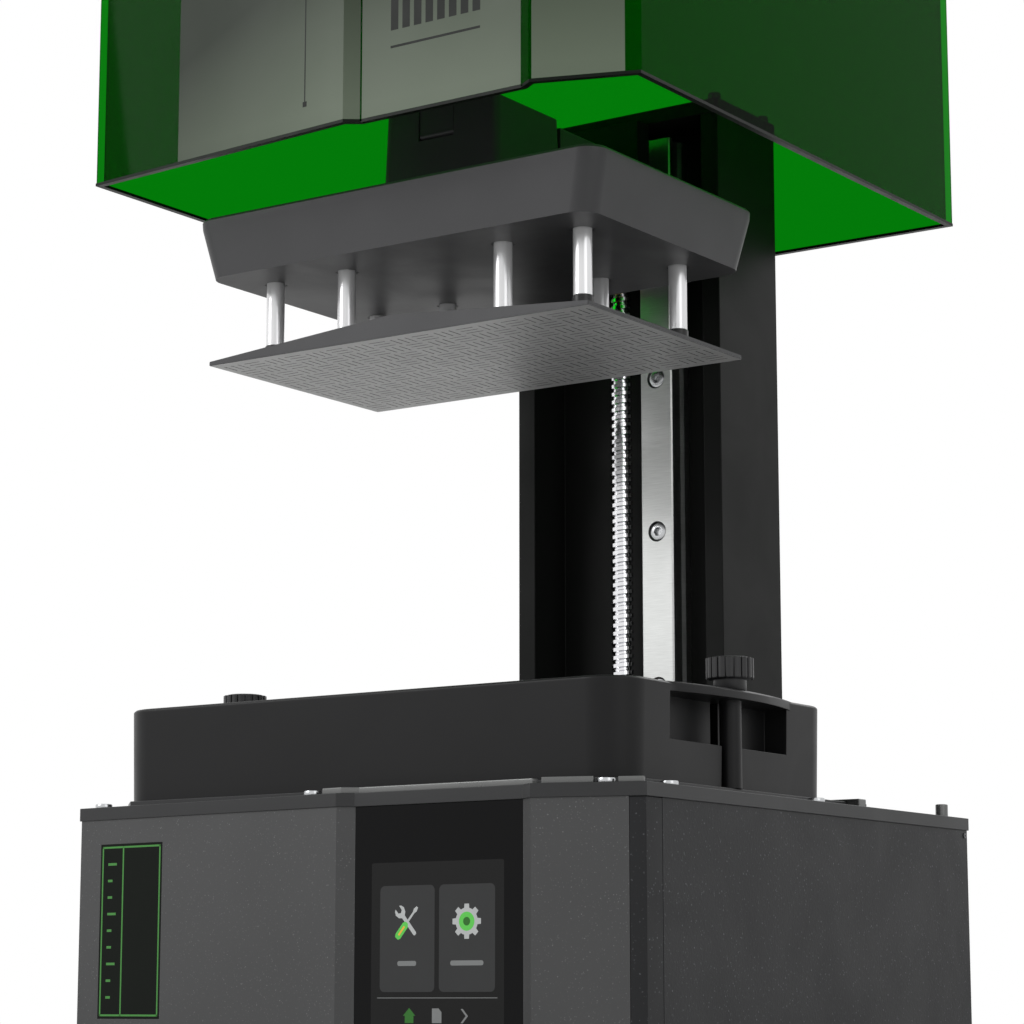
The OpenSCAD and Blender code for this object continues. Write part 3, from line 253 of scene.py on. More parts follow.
def new_material(name, mark_size):
    """A material: its tree, its object coordinates and the handling marks on it."""
    material = MATERIALS[name] = bpy.data.materials.new(name)
    material.use_nodes = True
    tree = material.node_tree
    position = add(tree, "ShaderNodeTexCoord").outputs["Object"]
    return tree, position, use_group(tree, "Handling marks", Position=position, Size=mark_size)


def use_group(tree, group, **values):
    """The outputs of a shader group with these inputs."""
    return add(tree, "ShaderNodeGroup", node_tree=bpy.data.node_groups[group], **values).outputs


def brighter(rgb, k):
    return tuple(min(1.0, c * k) for c in rgb[:3])


def finish(tree, colour, rough, height=None, depth=0.0, bump=1.0, **sockets):
    """Feeds the material's shader, whose constants go straight to its own sockets."""
    if height is not None:
        sockets["Normal"] = add(tree, "ShaderNodeBump", Distance=depth, Strength=bump, Height=height).outputs[0]
    feed(tree, tree.nodes["Principled BSDF"], spaced({"Base_Color": colour, "Roughness": rough, **sockets}))


def coated(name, rgb, grain, fleck=0.4, rough=(0.42, 0.55), metallic=0.0, lift=1.6, depth=0.00004, gloss=0.3):
    """Powder coat or grained paint; lift is how bright its flecks are."""
    tree, position, marks = new_material(name, 0.05)
    grains = use_group(tree, "Coat grain", Position=position, Grain=grain, Fleck=fleck)
    tone = blend_colours(tree, grains["Tone"], brighter(rgb, 0.94), brighter(rgb, 1.06))
    finish(tree, blend_colours(tree, grains["Fleck"], tone, brighter(rgb, 1 + 3 * lift)),
           between(tree, marks["Smudge"], rough), grains["Height"], depth, 0.8,
           Metallic=metallic, Specular_IOR_Level=gloss)


def brushed(name, rgb, stretch, rough=(0.22, 0.36), depth=0.00002, metallic=1.0):
    """Bare metal with straight brush lines; stretch is the number of lines a metre along each axis."""
    tree, position, marks = new_material(name, 0.03)
    stretched = add(tree, "ShaderNodeVectorMath", (position, stretch), operation="MULTIPLY").outputs[0]
    lines = use_group(tree, "Brushing", Stretched=stretched)
    finish(tree, blend_colours(tree, lines["Line"], brighter(rgb, 0.86), brighter(rgb, 1.06)),
           calc(tree, "MULTIPLY_ADD", marks["Smudge"], 0.06, between(tree, lines["Line"], rough)),
           lines["Height"], depth, 0.5, Metallic=metallic)


def polished(name, rgb, rough=0.07, metallic=1.0):
    """Polished or turned metal with faint handling marks."""
    tree, position, marks = new_material(name, 0.012)
    finish(tree, blend_colours(tree, marks["Dust"], rgb, brighter(rgb, 0.86)),
           between(tree, marks["Smudge"], (rough, rough + 0.06)), Metallic=metallic)


def moulded(name, rgb, rough=(0.38, 0.5), depth=0.00001, coat=0.0, gloss=0.35):
    """Moulded plastic or rubber with a fine texture."""
    tree, position, marks = new_material(name, 0.02)
    grains = use_group(tree, "Coat grain", Position=position, Grain=0.0004, Fleck=0.0)
    finish(tree, blend_colours(tree, marks["Dust"], rgb, brighter(rgb, 1.35)),
           between(tree, marks["Smudge"], rough), grains["Height"], depth, 0.6,
           Coat_Weight=coat, Specular_IOR_Level=gloss)


def clear(name, rgb, rough=0.02, ior=1.49):
    """Transparent plastic or glass."""
    tree, position, marks = new_material(name, 0.06)
    finish(tree, blend_colours(tree, marks["Dust"], rgb, brighter(rgb, 0.92)),
           between(tree, marks["Smudge"], (rough, rough + 0.02)), Transmission_Weight=1.0, IOR=ior)


def glowing(name, rgb, strength=0.35):
    """A patch of the display: its own colour with a little light of its own."""
    tree, position, marks = new_material(name, 0.02)
    shade = blend_colours(tree, marks["Smudge"], rgb, brighter(rgb, 0.94))
    finish(tree, shade, 0.3, Emission_Color=shade, Emission_Strength=strength, Specular_IOR_Level=0.2)


# The ink turns darker between the two heights; to the left of the middle a share of painted shade darkens it further.
INK_BRIGHT_Z, INK_DARK_Z, INK_SHADED_X, INK_SIDE_SHADE = 0.474, 0.560, -0.12, 0.6


def printed_ink(name, foot, high):
    """Silver-green ink, lighter at the foot and darker towards the top; the extra darkening to the left of the middle
    is painted shade.
    """
    tree, position, marks = new_material(name, 0.08)
    axes = add(tree, "ShaderNodeSeparateXYZ", [position]).outputs
    rise = ramp(tree, axes["Z"], INK_BRIGHT_Z, INK_DARK_Z)
    # painted shade: the ink is made darker to the left of the middle
    side = calc(tree, "MULTIPLY", ramp(tree, axes["X"], 0.0, INK_SHADED_X), INK_SIDE_SHADE)
    finish(tree, blend_colours(tree, calc(tree, "ADD", rise, side, clamp=True), foot, high),
           between(tree, marks["Smudge"], (0.34, 0.42)), Specular_IOR_Level=0.15)


def make_materials(scene):
    metal, vat, plate = scene.printer_metal, scene.printer_vat, scene.printer_platform
    cover, screen = scene.printer_cover, scene.printer_screen
    grain = metal.grain_size
    coated("Base powder coat", metal.base_colour, grain * 2, fleck=0.9, rough=(0.40, 0.50), lift=2.0,
           depth=0.0001, gloss=0.2)
    coated("Front metallic coat", metal.fascia_colour, grain * 1.3, fleck=0.6, rough=(0.34, 0.44), metallic=0.55,
           lift=0.9, depth=0.00003)
    coated("Corner strip coat", brighter(metal.base_colour, 0.9), grain * 2, fleck=1.0, lift=2.4, rough=(0.45, 0.55),
           gloss=0.2)
    coated("Top plate coat", metal.plate_colour, grain * 0.6, fleck=0.2, rough=(0.34, 0.42), metallic=0.25,
           depth=0.00001, gloss=0.25)
    coated("Column coat", metal.column_colour, grain * 0.6, fleck=0.1, rough=(0.44, 0.54), depth=0.00001,
           gloss=0.1)
    coated("Housing coat", metal.housing_colour, grain * 0.6, fleck=0.25, rough=(0.42, 0.50), metallic=0.35,
           lift=0.7, depth=0.000015)
    coated("Vat coat", vat.vat_colour, grain * 0.5, fleck=0.12, rough=(0.36, 0.44), depth=0.000008,
           gloss=0.2)
    coated("Sheet floor coat", (0.03, 0.03, 0.032), grain, fleck=0.2)
    brushed("Blasted aluminium", plate.plate_colour, (14, 520, 14), rough=(0.38, 0.50), depth=0.00001, metallic=0.45)
    coated("Stop metal", (0.15, 0.152, 0.15), 0.0005, fleck=0.1, rough=(0.26, 0.36), metallic=0.8, lift=0.3)
    coated("Engraved groove", (0.004, 0.004, 0.004), 0.0004, fleck=0.0, rough=(0.6, 0.7), gloss=0.1)
    coated("Cast aluminium", (0.42, 0.43, 0.44), 0.0006, fleck=0.1, rough=(0.36, 0.46), metallic=0.9, lift=0.2)
    brushed("Rail steel", (0.56, 0.57, 0.56), (90, 90, 3600), rough=(0.28, 0.40))
    brushed("Block steel", (0.50, 0.51, 0.52), (3000, 3000, 60))
    brushed("Sheet steel", (0.55, 0.56, 0.57), (60, 3000, 3000))
    brushed("Screw brass", (0.62, 0.44, 0.17), (1200, 1200, 4000), rough=(0.2, 0.3))
    polished("Post chrome", (0.86, 0.86, 0.87), 0.20, metallic=0.55)
    polished("Thread steel", (0.80, 0.80, 0.82), 0.12)
    polished("Screw steel", (0.52, 0.53, 0.54), 0.22)
    polished("Dark screw steel", (0.12, 0.12, 0.125), 0.28)
    moulded("Black plastic", (0.014, 0.014, 0.015))
    moulded("Knob plastic", (0.020, 0.020, 0.021), rough=(0.40, 0.50), depth=0.00002)
    moulded("Post cap plastic", (0.012, 0.012, 0.012), rough=(0.25, 0.35))
    moulded("Foot rubber", (0.014, 0.014, 0.014), rough=(0.6, 0.75), depth=0.00003)
    moulded("Rocker plastic", (0.42, 0.02, 0.012), rough=(0.2, 0.3), coat=0.3)
    moulded("Circuit board", (0.012, 0.085, 0.035), rough=(0.25, 0.35), coat=0.4)
    moulded("Lamp board", (0.78, 0.77, 0.70), rough=(0.3, 0.4))
    moulded("Front glass", (0.0015, 0.0015, 0.0018), rough=(0.06, 0.10), depth=0.0, gloss=0.12)
    moulded("Screen glass", (0.010, 0.013, 0.016), rough=(0.03, 0.07), depth=0.0, gloss=0.5)
    moulded("Badge film", (0.004, 0.006, 0.004), rough=(0.3, 0.4), depth=0.000002, gloss=0.08)
    moulded("Badge line", brighter(screen.accent, 0.62), rough=(0.3, 0.4), depth=0.000002)
    moulded("Cover rim", cover.rim, rough=(0.3, 0.4), gloss=0.1)
    moulded("Cover mark", (0.006, 0.008, 0.006), rough=(0.3, 0.4), gloss=0.1)
    clear("Green acrylic", cover.tint, ior=1.07)
    clear("Release film", (0.86, 0.90, 0.92), 0.06, 1.35)
    clear("Lens plastic", (0.90, 0.93, 0.95), 0.08)
    printed_ink("Silver ink", cover.ink, cover.high_ink)
    glowing("Display ground", (0.003, 0.003, 0.003), 0.2)
    glowing("Display tile", screen.tile, 0.35)
    glowing("Icon pale", screen.icon, 0.45)
    glowing("Icon green", screen.accent, 0.5)
    glowing("Icon deep green", brighter(screen.accent, 0.3), 0.35)
    glowing("Icon amber", (0.62, 0.33, 0.05), 0.45)
    glowing("Icon bar", (0.15, 0.155, 0.155), 0.4)
    glowing("Lamp lens", (0.55, 0.50, 0.80), 0.5)


# ---------- mesh helpers

def shade(piece, smooth):
    """Smooths a piece where its faces meet at less than the angle."""
    piece.data.shade_smooth()
    piece.data.set_sharp_from_angle(angle=math.radians(smooth))
    return piece


def link_new(name, data):
    piece = bpy.data.objects.new(name, data)
    bpy.context.scene.collection.objects.link(piece)
    return piece


def make_object(name, bm, materials, smooth=35.0, recalc=True):
    """An object from a bmesh, with one material or a list of them."""
    if recalc:
        bmesh.ops.recalc_face_normals(bm, faces=bm.faces)
    mesh = bpy.data.meshes.new(name)
    bm.to_mesh(mesh)
    bm.free()
    for material in [materials] if isinstance(materials, str) else materials:
        mesh.materials.append(MATERIALS[material])
    return shade(link_new(name, mesh), smooth)


def plain_mesh(piece):
    """Applies the modifiers of a piece, so that a plain mesh is left."""
    mesh = bpy.data.meshes.new_from_object(piece.evaluated_get(bpy.context.evaluated_depsgraph_get()))
    piece.modifiers.clear()
    piece.data = mesh
    return piece


def weighted(piece):
    """Evens the normals, so that large flat faces shade flat beside their rounded edges."""
    modifier = piece.modifiers.new("Even normals", "WEIGHTED_NORMAL")
    modifier.keep_sharp = True
    modifier.weight = 100
    return plain_mesh(piece)


def place(piece, body, slot, *nodes):
    """Puts a finished piece on its body and hides the nodes that it stands for; the slot is not used."""
    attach(piece, body)
    if nodes:
        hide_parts(*nodes)
    return piece


def place_like(piece, node, *nodes):
    """Puts a piece on a node's body."""
    return place(piece, BODY_OF[node], SLOT_OF[node], *nodes)


def round_edges(bm, width, angle, segments=2, profile=0.5):
    """Rounds the edges whose faces meet at more than the angle."""
    limit = math.radians(angle)
    edges = [e for e in bm.edges if len(e.link_faces) == 2 and abs(e.calc_face_angle(0)) > limit]
    bmesh.ops.bevel(bm, geom=edges, offset=width, offset_type="OFFSET", segments=segments,
                    profile=profile, affect="EDGES", clamp_overlap=True)


def node_mesh(node, distance):
    """A CAD node's mesh as a bmesh with its doubles merged."""
    bm = bmesh.new()
    bm.from_mesh(NODES[node].data)
    bmesh.ops.remove_doubles(bm, verts=bm.verts, dist=distance)
    return bm


def rounded_node(node, material, width, angle=30.0, segments=2):
    """A copy of a CAD node with its edges rounded, which stands for the node."""
    bm = node_mesh(node, 2e-6)
    bmesh.ops.dissolve_limit(bm, angle_limit=math.radians(0.3), verts=bm.verts, edges=bm.edges)
    round_edges(bm, width, angle, segments)
    bmesh.ops.remove_doubles(bm, verts=bm.verts, dist=1e-6)
    return place_like(weighted(make_object(node + "_finished", bm, material, 40.0, False)), node, node)


def paint_node(node, material):
    """Gives a CAD node that keeps its own mesh a finished material."""
    mesh = NODES[node].data
    mesh.materials.clear()
    mesh.materials.append(MATERIALS[material])


def dress(*rows):
    """For each row of node, material, width in mm and angle: a rounded copy, or only a coat without a width."""
    for node, material, *rounding in rows:
        if rounding:
            rounded_node(node, material, rounding[0] * MM, *rounding[1:])
        else:
            paint_node(node, material)


def skin(bm, rings, loop=False):
    """Joins each ring of points to the next; the ends are closed, or joined to each other in a loop."""
    rings = [[bm.verts.new(p) for p in ring] for ring in rings]
    for low, high in zip(rings, rings[1:] + rings[:1] if loop else rings[1:]):
        for i in range(len(low)):
            j = (i + 1) % len(low)
            bm.faces.new((low[i], low[j], high[j], high[i]))
    if not loop:
        bm.faces.new(list(reversed(rings[0])))
        bm.faces.new(rings[-1])


def ring(radius, z=0.0, steps=32, corners=0, centre=(0, 0)):
    """Points round a vertical axis: a circle, or a polygon of so many corners."""
    points = []
    for i in range(steps):
        a = math.tau * i / steps
        half = math.pi / corners if corners else 0
        r = radius * math.cos(half) / math.cos(a % (2 * half) - half) if corners else radius
        points.append(Vector((centre[0] + r * math.cos(a), centre[1] + r * math.sin(a), z)))
    return points


def lathe(bm, profile, centre=Vector(), steps=48):
    """Turns (radius, height) pairs about a vertical axis through centre."""
    skin(bm, [[centre + p for p in ring(radius, z, steps)] for radius, z in profile])


def prism(bm, outline, z0, z1, at=Matrix()):
    """A closed prism over an outline of flat points, moved by a matrix."""
    skin(bm, [[at @ Vector((p[0], p[1], z)) for p in outline] for z in (z0, z1)])


def rectangle(x0, x1, y0, y1):
    return [(x0, y0), (x1, y0), (x1, y1), (x0, y1)]


def rounded_rectangle(w, h, r, centre=(0, 0), steps=5):
    points = []
    for quarter, (sx, sy) in enumerate(((1, 1), (-1, 1), (-1, -1), (1, -1))):
        for i in range(steps + 1):
            a = math.radians(90 * (quarter + i / steps))
            points.append((centre[0] + sx * (w / 2 - r) + r * math.cos(a),
                           centre[1] + sy * (h / 2 - r) + r * math.sin(a)))
    return points


# ---------- repeats

def repeat_tree(name, inputs):
    """A geometry node tree with a geometry input and output, a material and the named inputs."""
    return group_with("GeometryNodeTree", name, [("Geometry", "Geometry"), *inputs, ("Material", "Material")],
                      [("Geometry", "Geometry")])


def on_points(tree, points, instance, **values):
    return add(tree, "GeometryNodeInstanceOnPoints", Points=points, Instance=instance, **values).outputs["Instances"]


def end_tree(tree, out, geometry, material):
    """Realize Instances and Set Material, then the output."""
    real = add(tree, "GeometryNodeRealizeInstances", Geometry=geometry).outputs["Geometry"]
    feed(tree, out, {"Geometry": add(tree, "GeometryNodeSetMaterial", Geometry=real, Material=material).outputs[0]})


def copies_tree():
    """One copy of the pattern object at each vertex of the piece's own mesh, turned by its turn attribute."""
    tree, given, out = repeat_tree("Copies at places", [("Pattern", "Object")])
    pattern = add(tree, "GeometryNodeObjectInfo", Object=given["Pattern"]).outputs["Geometry"]
    turn = add(tree, "GeometryNodeInputNamedAttribute", data_type="FLOAT_VECTOR", Name="turn").outputs["Attribute"]
    end_tree(tree, out, on_points(tree, given["Geometry"], pattern, Rotation=turn), given["Material"])


def coil_tree():
    """A coil spring at each vertex of the piece's own mesh."""
    tree, given, out = repeat_tree("Coil springs", [
        ("Turns", "Float", 5.0), ("Height", "Float", 0.01), ("Radius", "Float", 0.006), ("Wire", "Float", 0.0007)])
    coil = add(tree, "GeometryNodeCurveSpiral", Resolution=24, Rotations=given["Turns"], Height=given["Height"],
               Start_Radius=given["Radius"], End_Radius=given["Radius"]).outputs["Curve"]
    wire = add(tree, "GeometryNodeCurvePrimitiveCircle", Resolution=8, Radius=given["Wire"]).outputs["Curve"]
    tube = add(tree, "GeometryNodeCurveToMesh", Fill_Caps=True, Curve=coil, Profile_Curve=wire).outputs["Mesh"]
    end_tree(tree, out, on_points(tree, given["Geometry"], tube), given["Material"])


def ribs_tree():
    """Ribs round a vertical axis at each vertex of the piece's own mesh."""
    tree, given, out = repeat_tree("Ribs in a ring", [
        ("Count", "Int", 18), ("Radius", "Float", 0.01), ("Pattern", "Object")])
    circle = add(tree, "GeometryNodeMeshCircle", Vertices=given["Count"], Radius=given["Radius"]).outputs["Mesh"]
    outward = add(tree, "FunctionNodeAlignEulerToVector", axis="X", pivot_axis="Z",
                  Vector=add(tree, "GeometryNodeInputPosition").outputs["Position"]).outputs["Rotation"]
    pattern = add(tree, "GeometryNodeObjectInfo", Object=given["Pattern"]).outputs["Geometry"]
    around = on_points(tree, circle, pattern, Rotation=outward)
    end_tree(tree, out, on_points(tree, given["Geometry"], around), given["Material"])


def run_tree(name, tree_name, places, turns=None, pattern=None, smooth=None, **values):
    """A piece whose vertices are the places, after a geometry node tree has run on it."""
    mesh = bpy.data.meshes.new(name)
    mesh.from_pydata([tuple(p) for p in places], [], [])
    attribute = mesh.attributes.new("turn", "FLOAT_VECTOR", "POINT")
    for i, turn in enumerate(turns or [(0, 0, 0)] * len(places)):
        attribute.data[i].vector = turn
    piece = link_new(name, mesh)
    if pattern:
        values["Pattern"] = pattern
    modifier = piece.modifiers.new(tree_name, "NODES")
    modifier.node_group = bpy.data.node_groups[tree_name]
    for item in modifier.node_group.interface.items_tree:
        if item.in_out == "INPUT" and item.name in values:
            modifier[item.identifier] = values[item.name]
    piece.update_tag()
    bpy.context.view_layer.update()
    plain_mesh(piece)
    if pattern:
        bpy.data.objects.remove(pattern)
    if smooth:
        shade(piece, smooth)
    return piece


def copies(name, pattern_bm, material, places, turns=None, smooth=35.0):
    """A piece of like parts: the pattern at each place."""
    pattern = make_object(name + "_pattern", pattern_bm, material, smooth)
    return run_tree(name, "Copies at places", places, turns, pattern, smooth, Material=MATERIALS[material])


def screw_head(radius, height, socket, steps=40):
    """A socket screw's head standing on z = 0: rounded rim, hexagon socket with a floor."""
    rim = min(radius, height) * 0.28
    outer = [(radius * 0.985, 0.0), (radius, height * 0.06), (radius, height - rim),
             (radius - rim * 0.3, height - rim * 0.3), (radius - rim, height)]
    hexagons = [(socket * 1.08, height), (socket, height * 0.94), (socket * 0.98, height * 0.5)]
    bm = bmesh.new()
    skin(bm, [ring(r, z, steps) for r, z in outer] + [ring(r, z, steps, 6) for r, z in hexagons])
    return bm


def node_parts(node):
    """Centre, lowest and highest corner of each loose part of a CAD node."""
    bm = node_mesh(node, 1e-6)
    seen, found = set(), []
    for start in bm.verts:
        if start in seen:
            continue
        stack, part = [start], []
        seen.add(start)
        while stack:
            v = stack.pop()
            part.append(v.co.copy())
            for w in [e.other_vert(v) for e in v.link_edges]:
                if w not in seen:
                    seen.add(w)
                    stack.append(w)
        low, high = (Vector([pick(c[i] for c in part) for i in range(3)]) for pick in (min, max))
        found.append(((low + high) / 2, low, high))
    bm.free()
    return sorted(found, key=lambda t: tuple(round(c, 5) for c in t[0]))


# ---------- sizes shared with the frame

def low(node):
    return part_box(node)[0]


def high(node):
    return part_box(node)[1]


FRONT_Y = low("top_plate").y
REAR_Y = high("top_plate").y
HALF_W = high("top_plate").x
PLATFORM_Y = (low("face_plate").y + high("face_plate").y) / 2
STROKES_IN_A_CELL, STROKE_SHARE = 3, 0.76
RAIL_BORE_FLOOR, KNOB_COLLAR, FACE_EDGE = 5.0 * MM, 5.5 * MM, 2.2 * MM
LEAST_ENGRAVED_FACES = 500
SPRING_WIRE, SPRING_R = 0.7 * MM, 6.2 * MM
# The print starts and its thin line stands so far left of the middle; lengths on the slanted panel are a little longer.
INK_LEFT, LINE_X, PANEL_SLANT = 103.7 * MM, 17.2 * MM, 1.0032
LEFT_SETBACK, RIGHT_SETBACK = 13.8 * MM, 18.3 * MM
RECESS_X0, RECESS_X1, RECESS_DEPTH, BEVEL_W = 14.75 * MM, 107.65 * MM, 5.0 * MM, 7.0 * MM
OUTLINE = [
    Vector((-HALF_W, FRONT_Y + LEFT_SETBACK)), Vector((RECESS_X0 - BEVEL_W, FRONT_Y)),
    Vector((RECESS_X0, FRONT_Y + RECESS_DEPTH)), Vector((RECESS_X1, FRONT_Y + RECESS_DEPTH)),
    Vector((RECESS_X1 + BEVEL_W, FRONT_Y + 0.5 * MM)), Vector((HALF_W, FRONT_Y + RIGHT_SETBACK)),
    Vector((HALF_W, REAR_Y)), Vector((-HALF_W, REAR_Y))]


def inward(a, b):
    along = (b - a).normalized()
    return Vector((-along.y, along.x))


def inset(points, d):
    """The closed outline moved inwards by d, with mitred corners."""
    n, moved = len(points), []
    for i, p in enumerate(points):
        n1, n2 = inward(points[i - 1], p), inward(p, points[(i + 1) % n])
        moved.append(p + (n1 + n2) * (d / (1 + n1.dot(n2))))
    return moved


# ---------- operators

class PrinterPiece:
    """What the operators share"""
    bl_options = {"REGISTER", "UNDO"}


class OBJECT_OT_printer_finishes(PrinterPiece, bpy.types.Operator):
    """Makes the shader groups, the finishes and the geometry node trees"""
    bl_idname = "object.printer_finishes"
    bl_label = "Finishes"

    def execute(self, context):
        for make in (coat_grain_group, brushing_group, handling_marks_group, copies_tree, coil_tree, ribs_tree):
            make()
        make_materials(context.scene)
        return {"FINISHED"}


class OBJECT_OT_printer_base(PrinterPiece, bpy.types.Operator):
    """Rounds and coats the base's sheet metal, top plate and feet"""
    bl_idname = "object.printer_base"
    bl_label = "Base"

    def execute(self, context):
        r = context.scene.printer_metal.edge_round / MM
        dress(("base_shell", "Base powder coat", r), ("front_fascia", "Front metallic coat", r),
              ("corner_post", "Corner strip coat", r), ("bottom_plate", "Sheet floor coat", r * 0.6),
              ("top_plate", "Top plate coat", r), ("rubber_feet", "Foot rubber", 0.6),
              ("cover_locators", "Stop metal", 0.5))
        return {"FINISHED"}


class OBJECT_OT_printer_screws(PrinterPiece, bpy.types.Operator):
    """Sets the socket screws of the top plate, the sides, the column's cap and the rail"""
    bl_idname = "object.printer_screws"
    bl_label = "Screws"

    def execute(self, context):
        for node, material, socket in (("top_plate_screws", "Screw steel", 2.0),
                                       ("tower_cap_screws", "Dark screw steel", 1.8)):
            ends = node_parts(node)
            places = [Vector((c.x, c.y, lo.z)) for c, lo, hi in ends]
            size = ends[0][2] - ends[0][1]
            heads = copies(node + "_heads", screw_head(size.x / 2, size.z, socket * MM), material, places)
            place_like(heads, node, node)
        places, turns = [], []
        for c, lo, hi in node_parts("side_screws"):
            side = 1 if c.x > 0 else -1
            places.append(Vector(((lo.x if side > 0 else hi.x), c.y, c.z)))
            turns.append((0, side * math.pi / 2, 0))
        heads = copies("side_screw_heads", screw_head(1.4 * MM, 0.5 * MM, 0.6 * MM), "Dark screw steel", places, turns)
        place(heads, "base", "steel", "side_screws")
        floor_y = low("guide_rail").y + RAIL_BORE_FLOOR
        places = [Vector((c.x, floor_y, c.z)) for c, lo, hi in node_parts("rail_screws")]
        heads = copies("rail_screw_heads", screw_head(5.0 * MM, 4.3 * MM, 2.4 * MM), "Screw steel", places,
                       [(math.pi / 2, 0, 0)] * len(places))
        place(heads, "base", "steel", "rail_screws")
        return {"FINISHED"}


def upright(y, z=0.0):
    """From flat coordinates (across, up, out to the front) to a wall at y."""
    return Matrix(((1, 0, 0, 0), (0, 0, -1, y), (0, 1, 0, z), (0, 0, 0, 1)))


def gear_outline(centre, outer, inner, teeth=8):
    shape = ((0.02, inner), (0.20, inner), (0.30, outer), (0.70, outer), (0.80, inner), (0.98, inner))
    return [(centre[0] + r * math.cos(a), centre[1] + r * math.sin(a))
            for a, r in ((math.tau * (i + share + 0.5) / teeth, r) for i in range(teeth) for share, r in shape)]


def moved(points, x, y, degrees=0.0):
    """Flat points turned about their origin and moved to (x, y)."""
    c, s = math.cos(math.radians(degrees)), math.sin(math.radians(degrees))
    return [(x + px * c - py * s, y + px * s + py * c) for px, py in points]


SPANNER = [(-0.95, -6.6), (-0.5, -7.2), (0.5, -7.2), (0.95, -6.6), (0.95, 3.2), (2.3, 4.4), (2.9, 6.4), (2.2, 8.0),
           (1.3, 8.6), (1.2, 6.2), (0.0, 5.4), (-1.2, 6.2), (-1.3, 8.6), (-2.2, 8.0), (-2.9, 6.4), (-2.3, 4.4),
           (-0.95, 3.2)]
BLADE = [(-0.5, 0.0), (0.5, 0.0), (0.5, 5.6), (1.0, 7.0), (0.5, 8.8), (-0.5, 8.8), (-1.0, 7.0), (-0.5, 5.6)]
HANDLE = [(-1.7, -8.0), (-1.0, -9.2), (1.0, -9.2), (1.7, -8.0), (1.7, -1.6), (0.8, -0.2), (-0.8, -0.2), (-1.7, -1.6)]
HOME = [(-3.4, 0.2), (0.0, 3.6), (3.4, 0.2), (2.4, 0.2), (2.4, -3.0), (-2.4, -3.0), (-2.4, 0.2)]
SHEET = [(-2.6, -3.0), (2.6, -3.0), (2.6, 1.8), (1.0, 3.4), (-2.6, 3.4)]
CHEVRON = [(-1.8, 3.2), (-0.6, 3.2), (2.2, 0.1), (-0.6, -3.0), (-1.8, -3.0), (1.0, 0.1)]
TILE_X, TOOL_AT, GEAR_AT, BAR_Z, ROW_Z = (44.6, 77.5), (44.6, 88.0), (77.4, 88.0), 69.8, 46.6


class OBJECT_OT_printer_display(PrinterPiece, bpy.types.Operator):
    """Lays the display's tiles and plain icons on the black front glass"""
    bl_idname = "object.printer_display"
    bl_label = "Display"

    def execute(self, context):
        dress(("front_glass", "Front glass", 0.2), ("touch_display", "Display ground"))
        at = upright(low("front_glass").y)
        patches = (
            ("display_ground", "Display ground", 0, [rounded_rectangle(73, 92, 1.0, (61.0, 68.8))]),
            ("display_tiles", "Display tile", 1, [rounded_rectangle(30.4, 47.2, 2.4, (x, 80.8)) for x in TILE_X]),
            ("display_divider", "Icon bar", 1, [rounded_rectangle(66, 0.3, 0.1, (61.0, 54.6))]),
            ("gear_ring", "Icon pale", 2, [gear_outline(GEAR_AT, 7.8, 6.0)]),
            ("gear_green", "Icon green", 3, [ring(4.2, centre=GEAR_AT)]),
            ("gear_middle", "Icon deep green", 4, [ring(1.9, centre=GEAR_AT)]),
            ("spanner_icon", "Icon pale", 2, [moved(SPANNER, *TOOL_AT, 40)]),
            ("driver_blade", "Icon pale", 3, [moved(BLADE, *TOOL_AT, -40)]),
            ("driver_handle", "Icon green", 3, [moved(HANDLE, *TOOL_AT, -40)]),
            ("driver_groove", "Icon amber", 4, [moved(rectangle(-0.45, 0.45, -7.4, -2.4), *TOOL_AT, -40)]),
            ("display_bars", "Icon bar", 2, [rounded_rectangle(10.5, 2.2, 1.0, (44.5, BAR_Z)),
                                             rounded_rectangle(18.0, 2.2, 1.0, (77.5, BAR_Z))]),
            ("home_icon", "Icon deep green", 2, [moved(HOME, 46.0, ROW_Z)]),
            ("row_icons", "Icon bar", 2, [moved(SHEET, 61.2, ROW_Z), moved(CHEVRON, 76.0, ROW_Z)]))
        for name, material, layer, outlines in patches:
            bm = bmesh.new()
            for outline in outlines:
                prism(bm, [(p[0] * MM, p[1] * MM) for p in outline], -0.01 * MM, (0.02 + 0.02 * layer) * MM, at)
            place(make_object(name, bm, material), "base", "screen_glass")
        return {"FINISHED"}


class OBJECT_OT_printer_badge(PrinterPiece, bpy.types.Operator):
    """Finishes the plain badge film and its green outline on the left front panel"""
    bl_idname = "object.printer_badge"
    bl_label = "Badge"

    def execute(self, context):
        dress(("badge_plate", "Badge film", 0.15))
        panel = Matrix.Rotation(-math.atan2(LEFT_SETBACK, HALF_W + RECESS_X0 - BEVEL_W), 4, "Z")
        at = Matrix.Translation((OUTLINE[0].x, OUTLINE[0].y, 0)) @ panel @ upright(0.8 * MM)
        line, edge = 0.9 * MM, 1.2 * MM
        left, split, right = 15.2 * MM + edge, 30.7 * MM, 58.2 * MM - edge
        bottom, top = low("badge_plate").z + edge, high("badge_plate").z - edge
        outline = [rectangle(x, x + line, bottom, top) for x in (left, split, right - line)]
        outline += [rectangle(left, right, z, z + line) for z in (top - line, bottom)]
        scale, start = [], left + 4.2 * MM
        for i in range(9):
            z = top - (8 + 8 * i) * MM
            scale.append(rectangle(start, start + (3.2 if i % 3 else 6.0) * MM, z - 1.2 * MM, z))
        for name, bars in (("badge_outline", outline), ("badge_scale", scale)):
            bm = bmesh.new()
            for bar in bars:
                prism(bm, bar, -0.01 * MM, 0.03 * MM, at)
            place(make_object(name, bm, "Badge line"), "base", "badge_film")
        return {"FINISHED"}


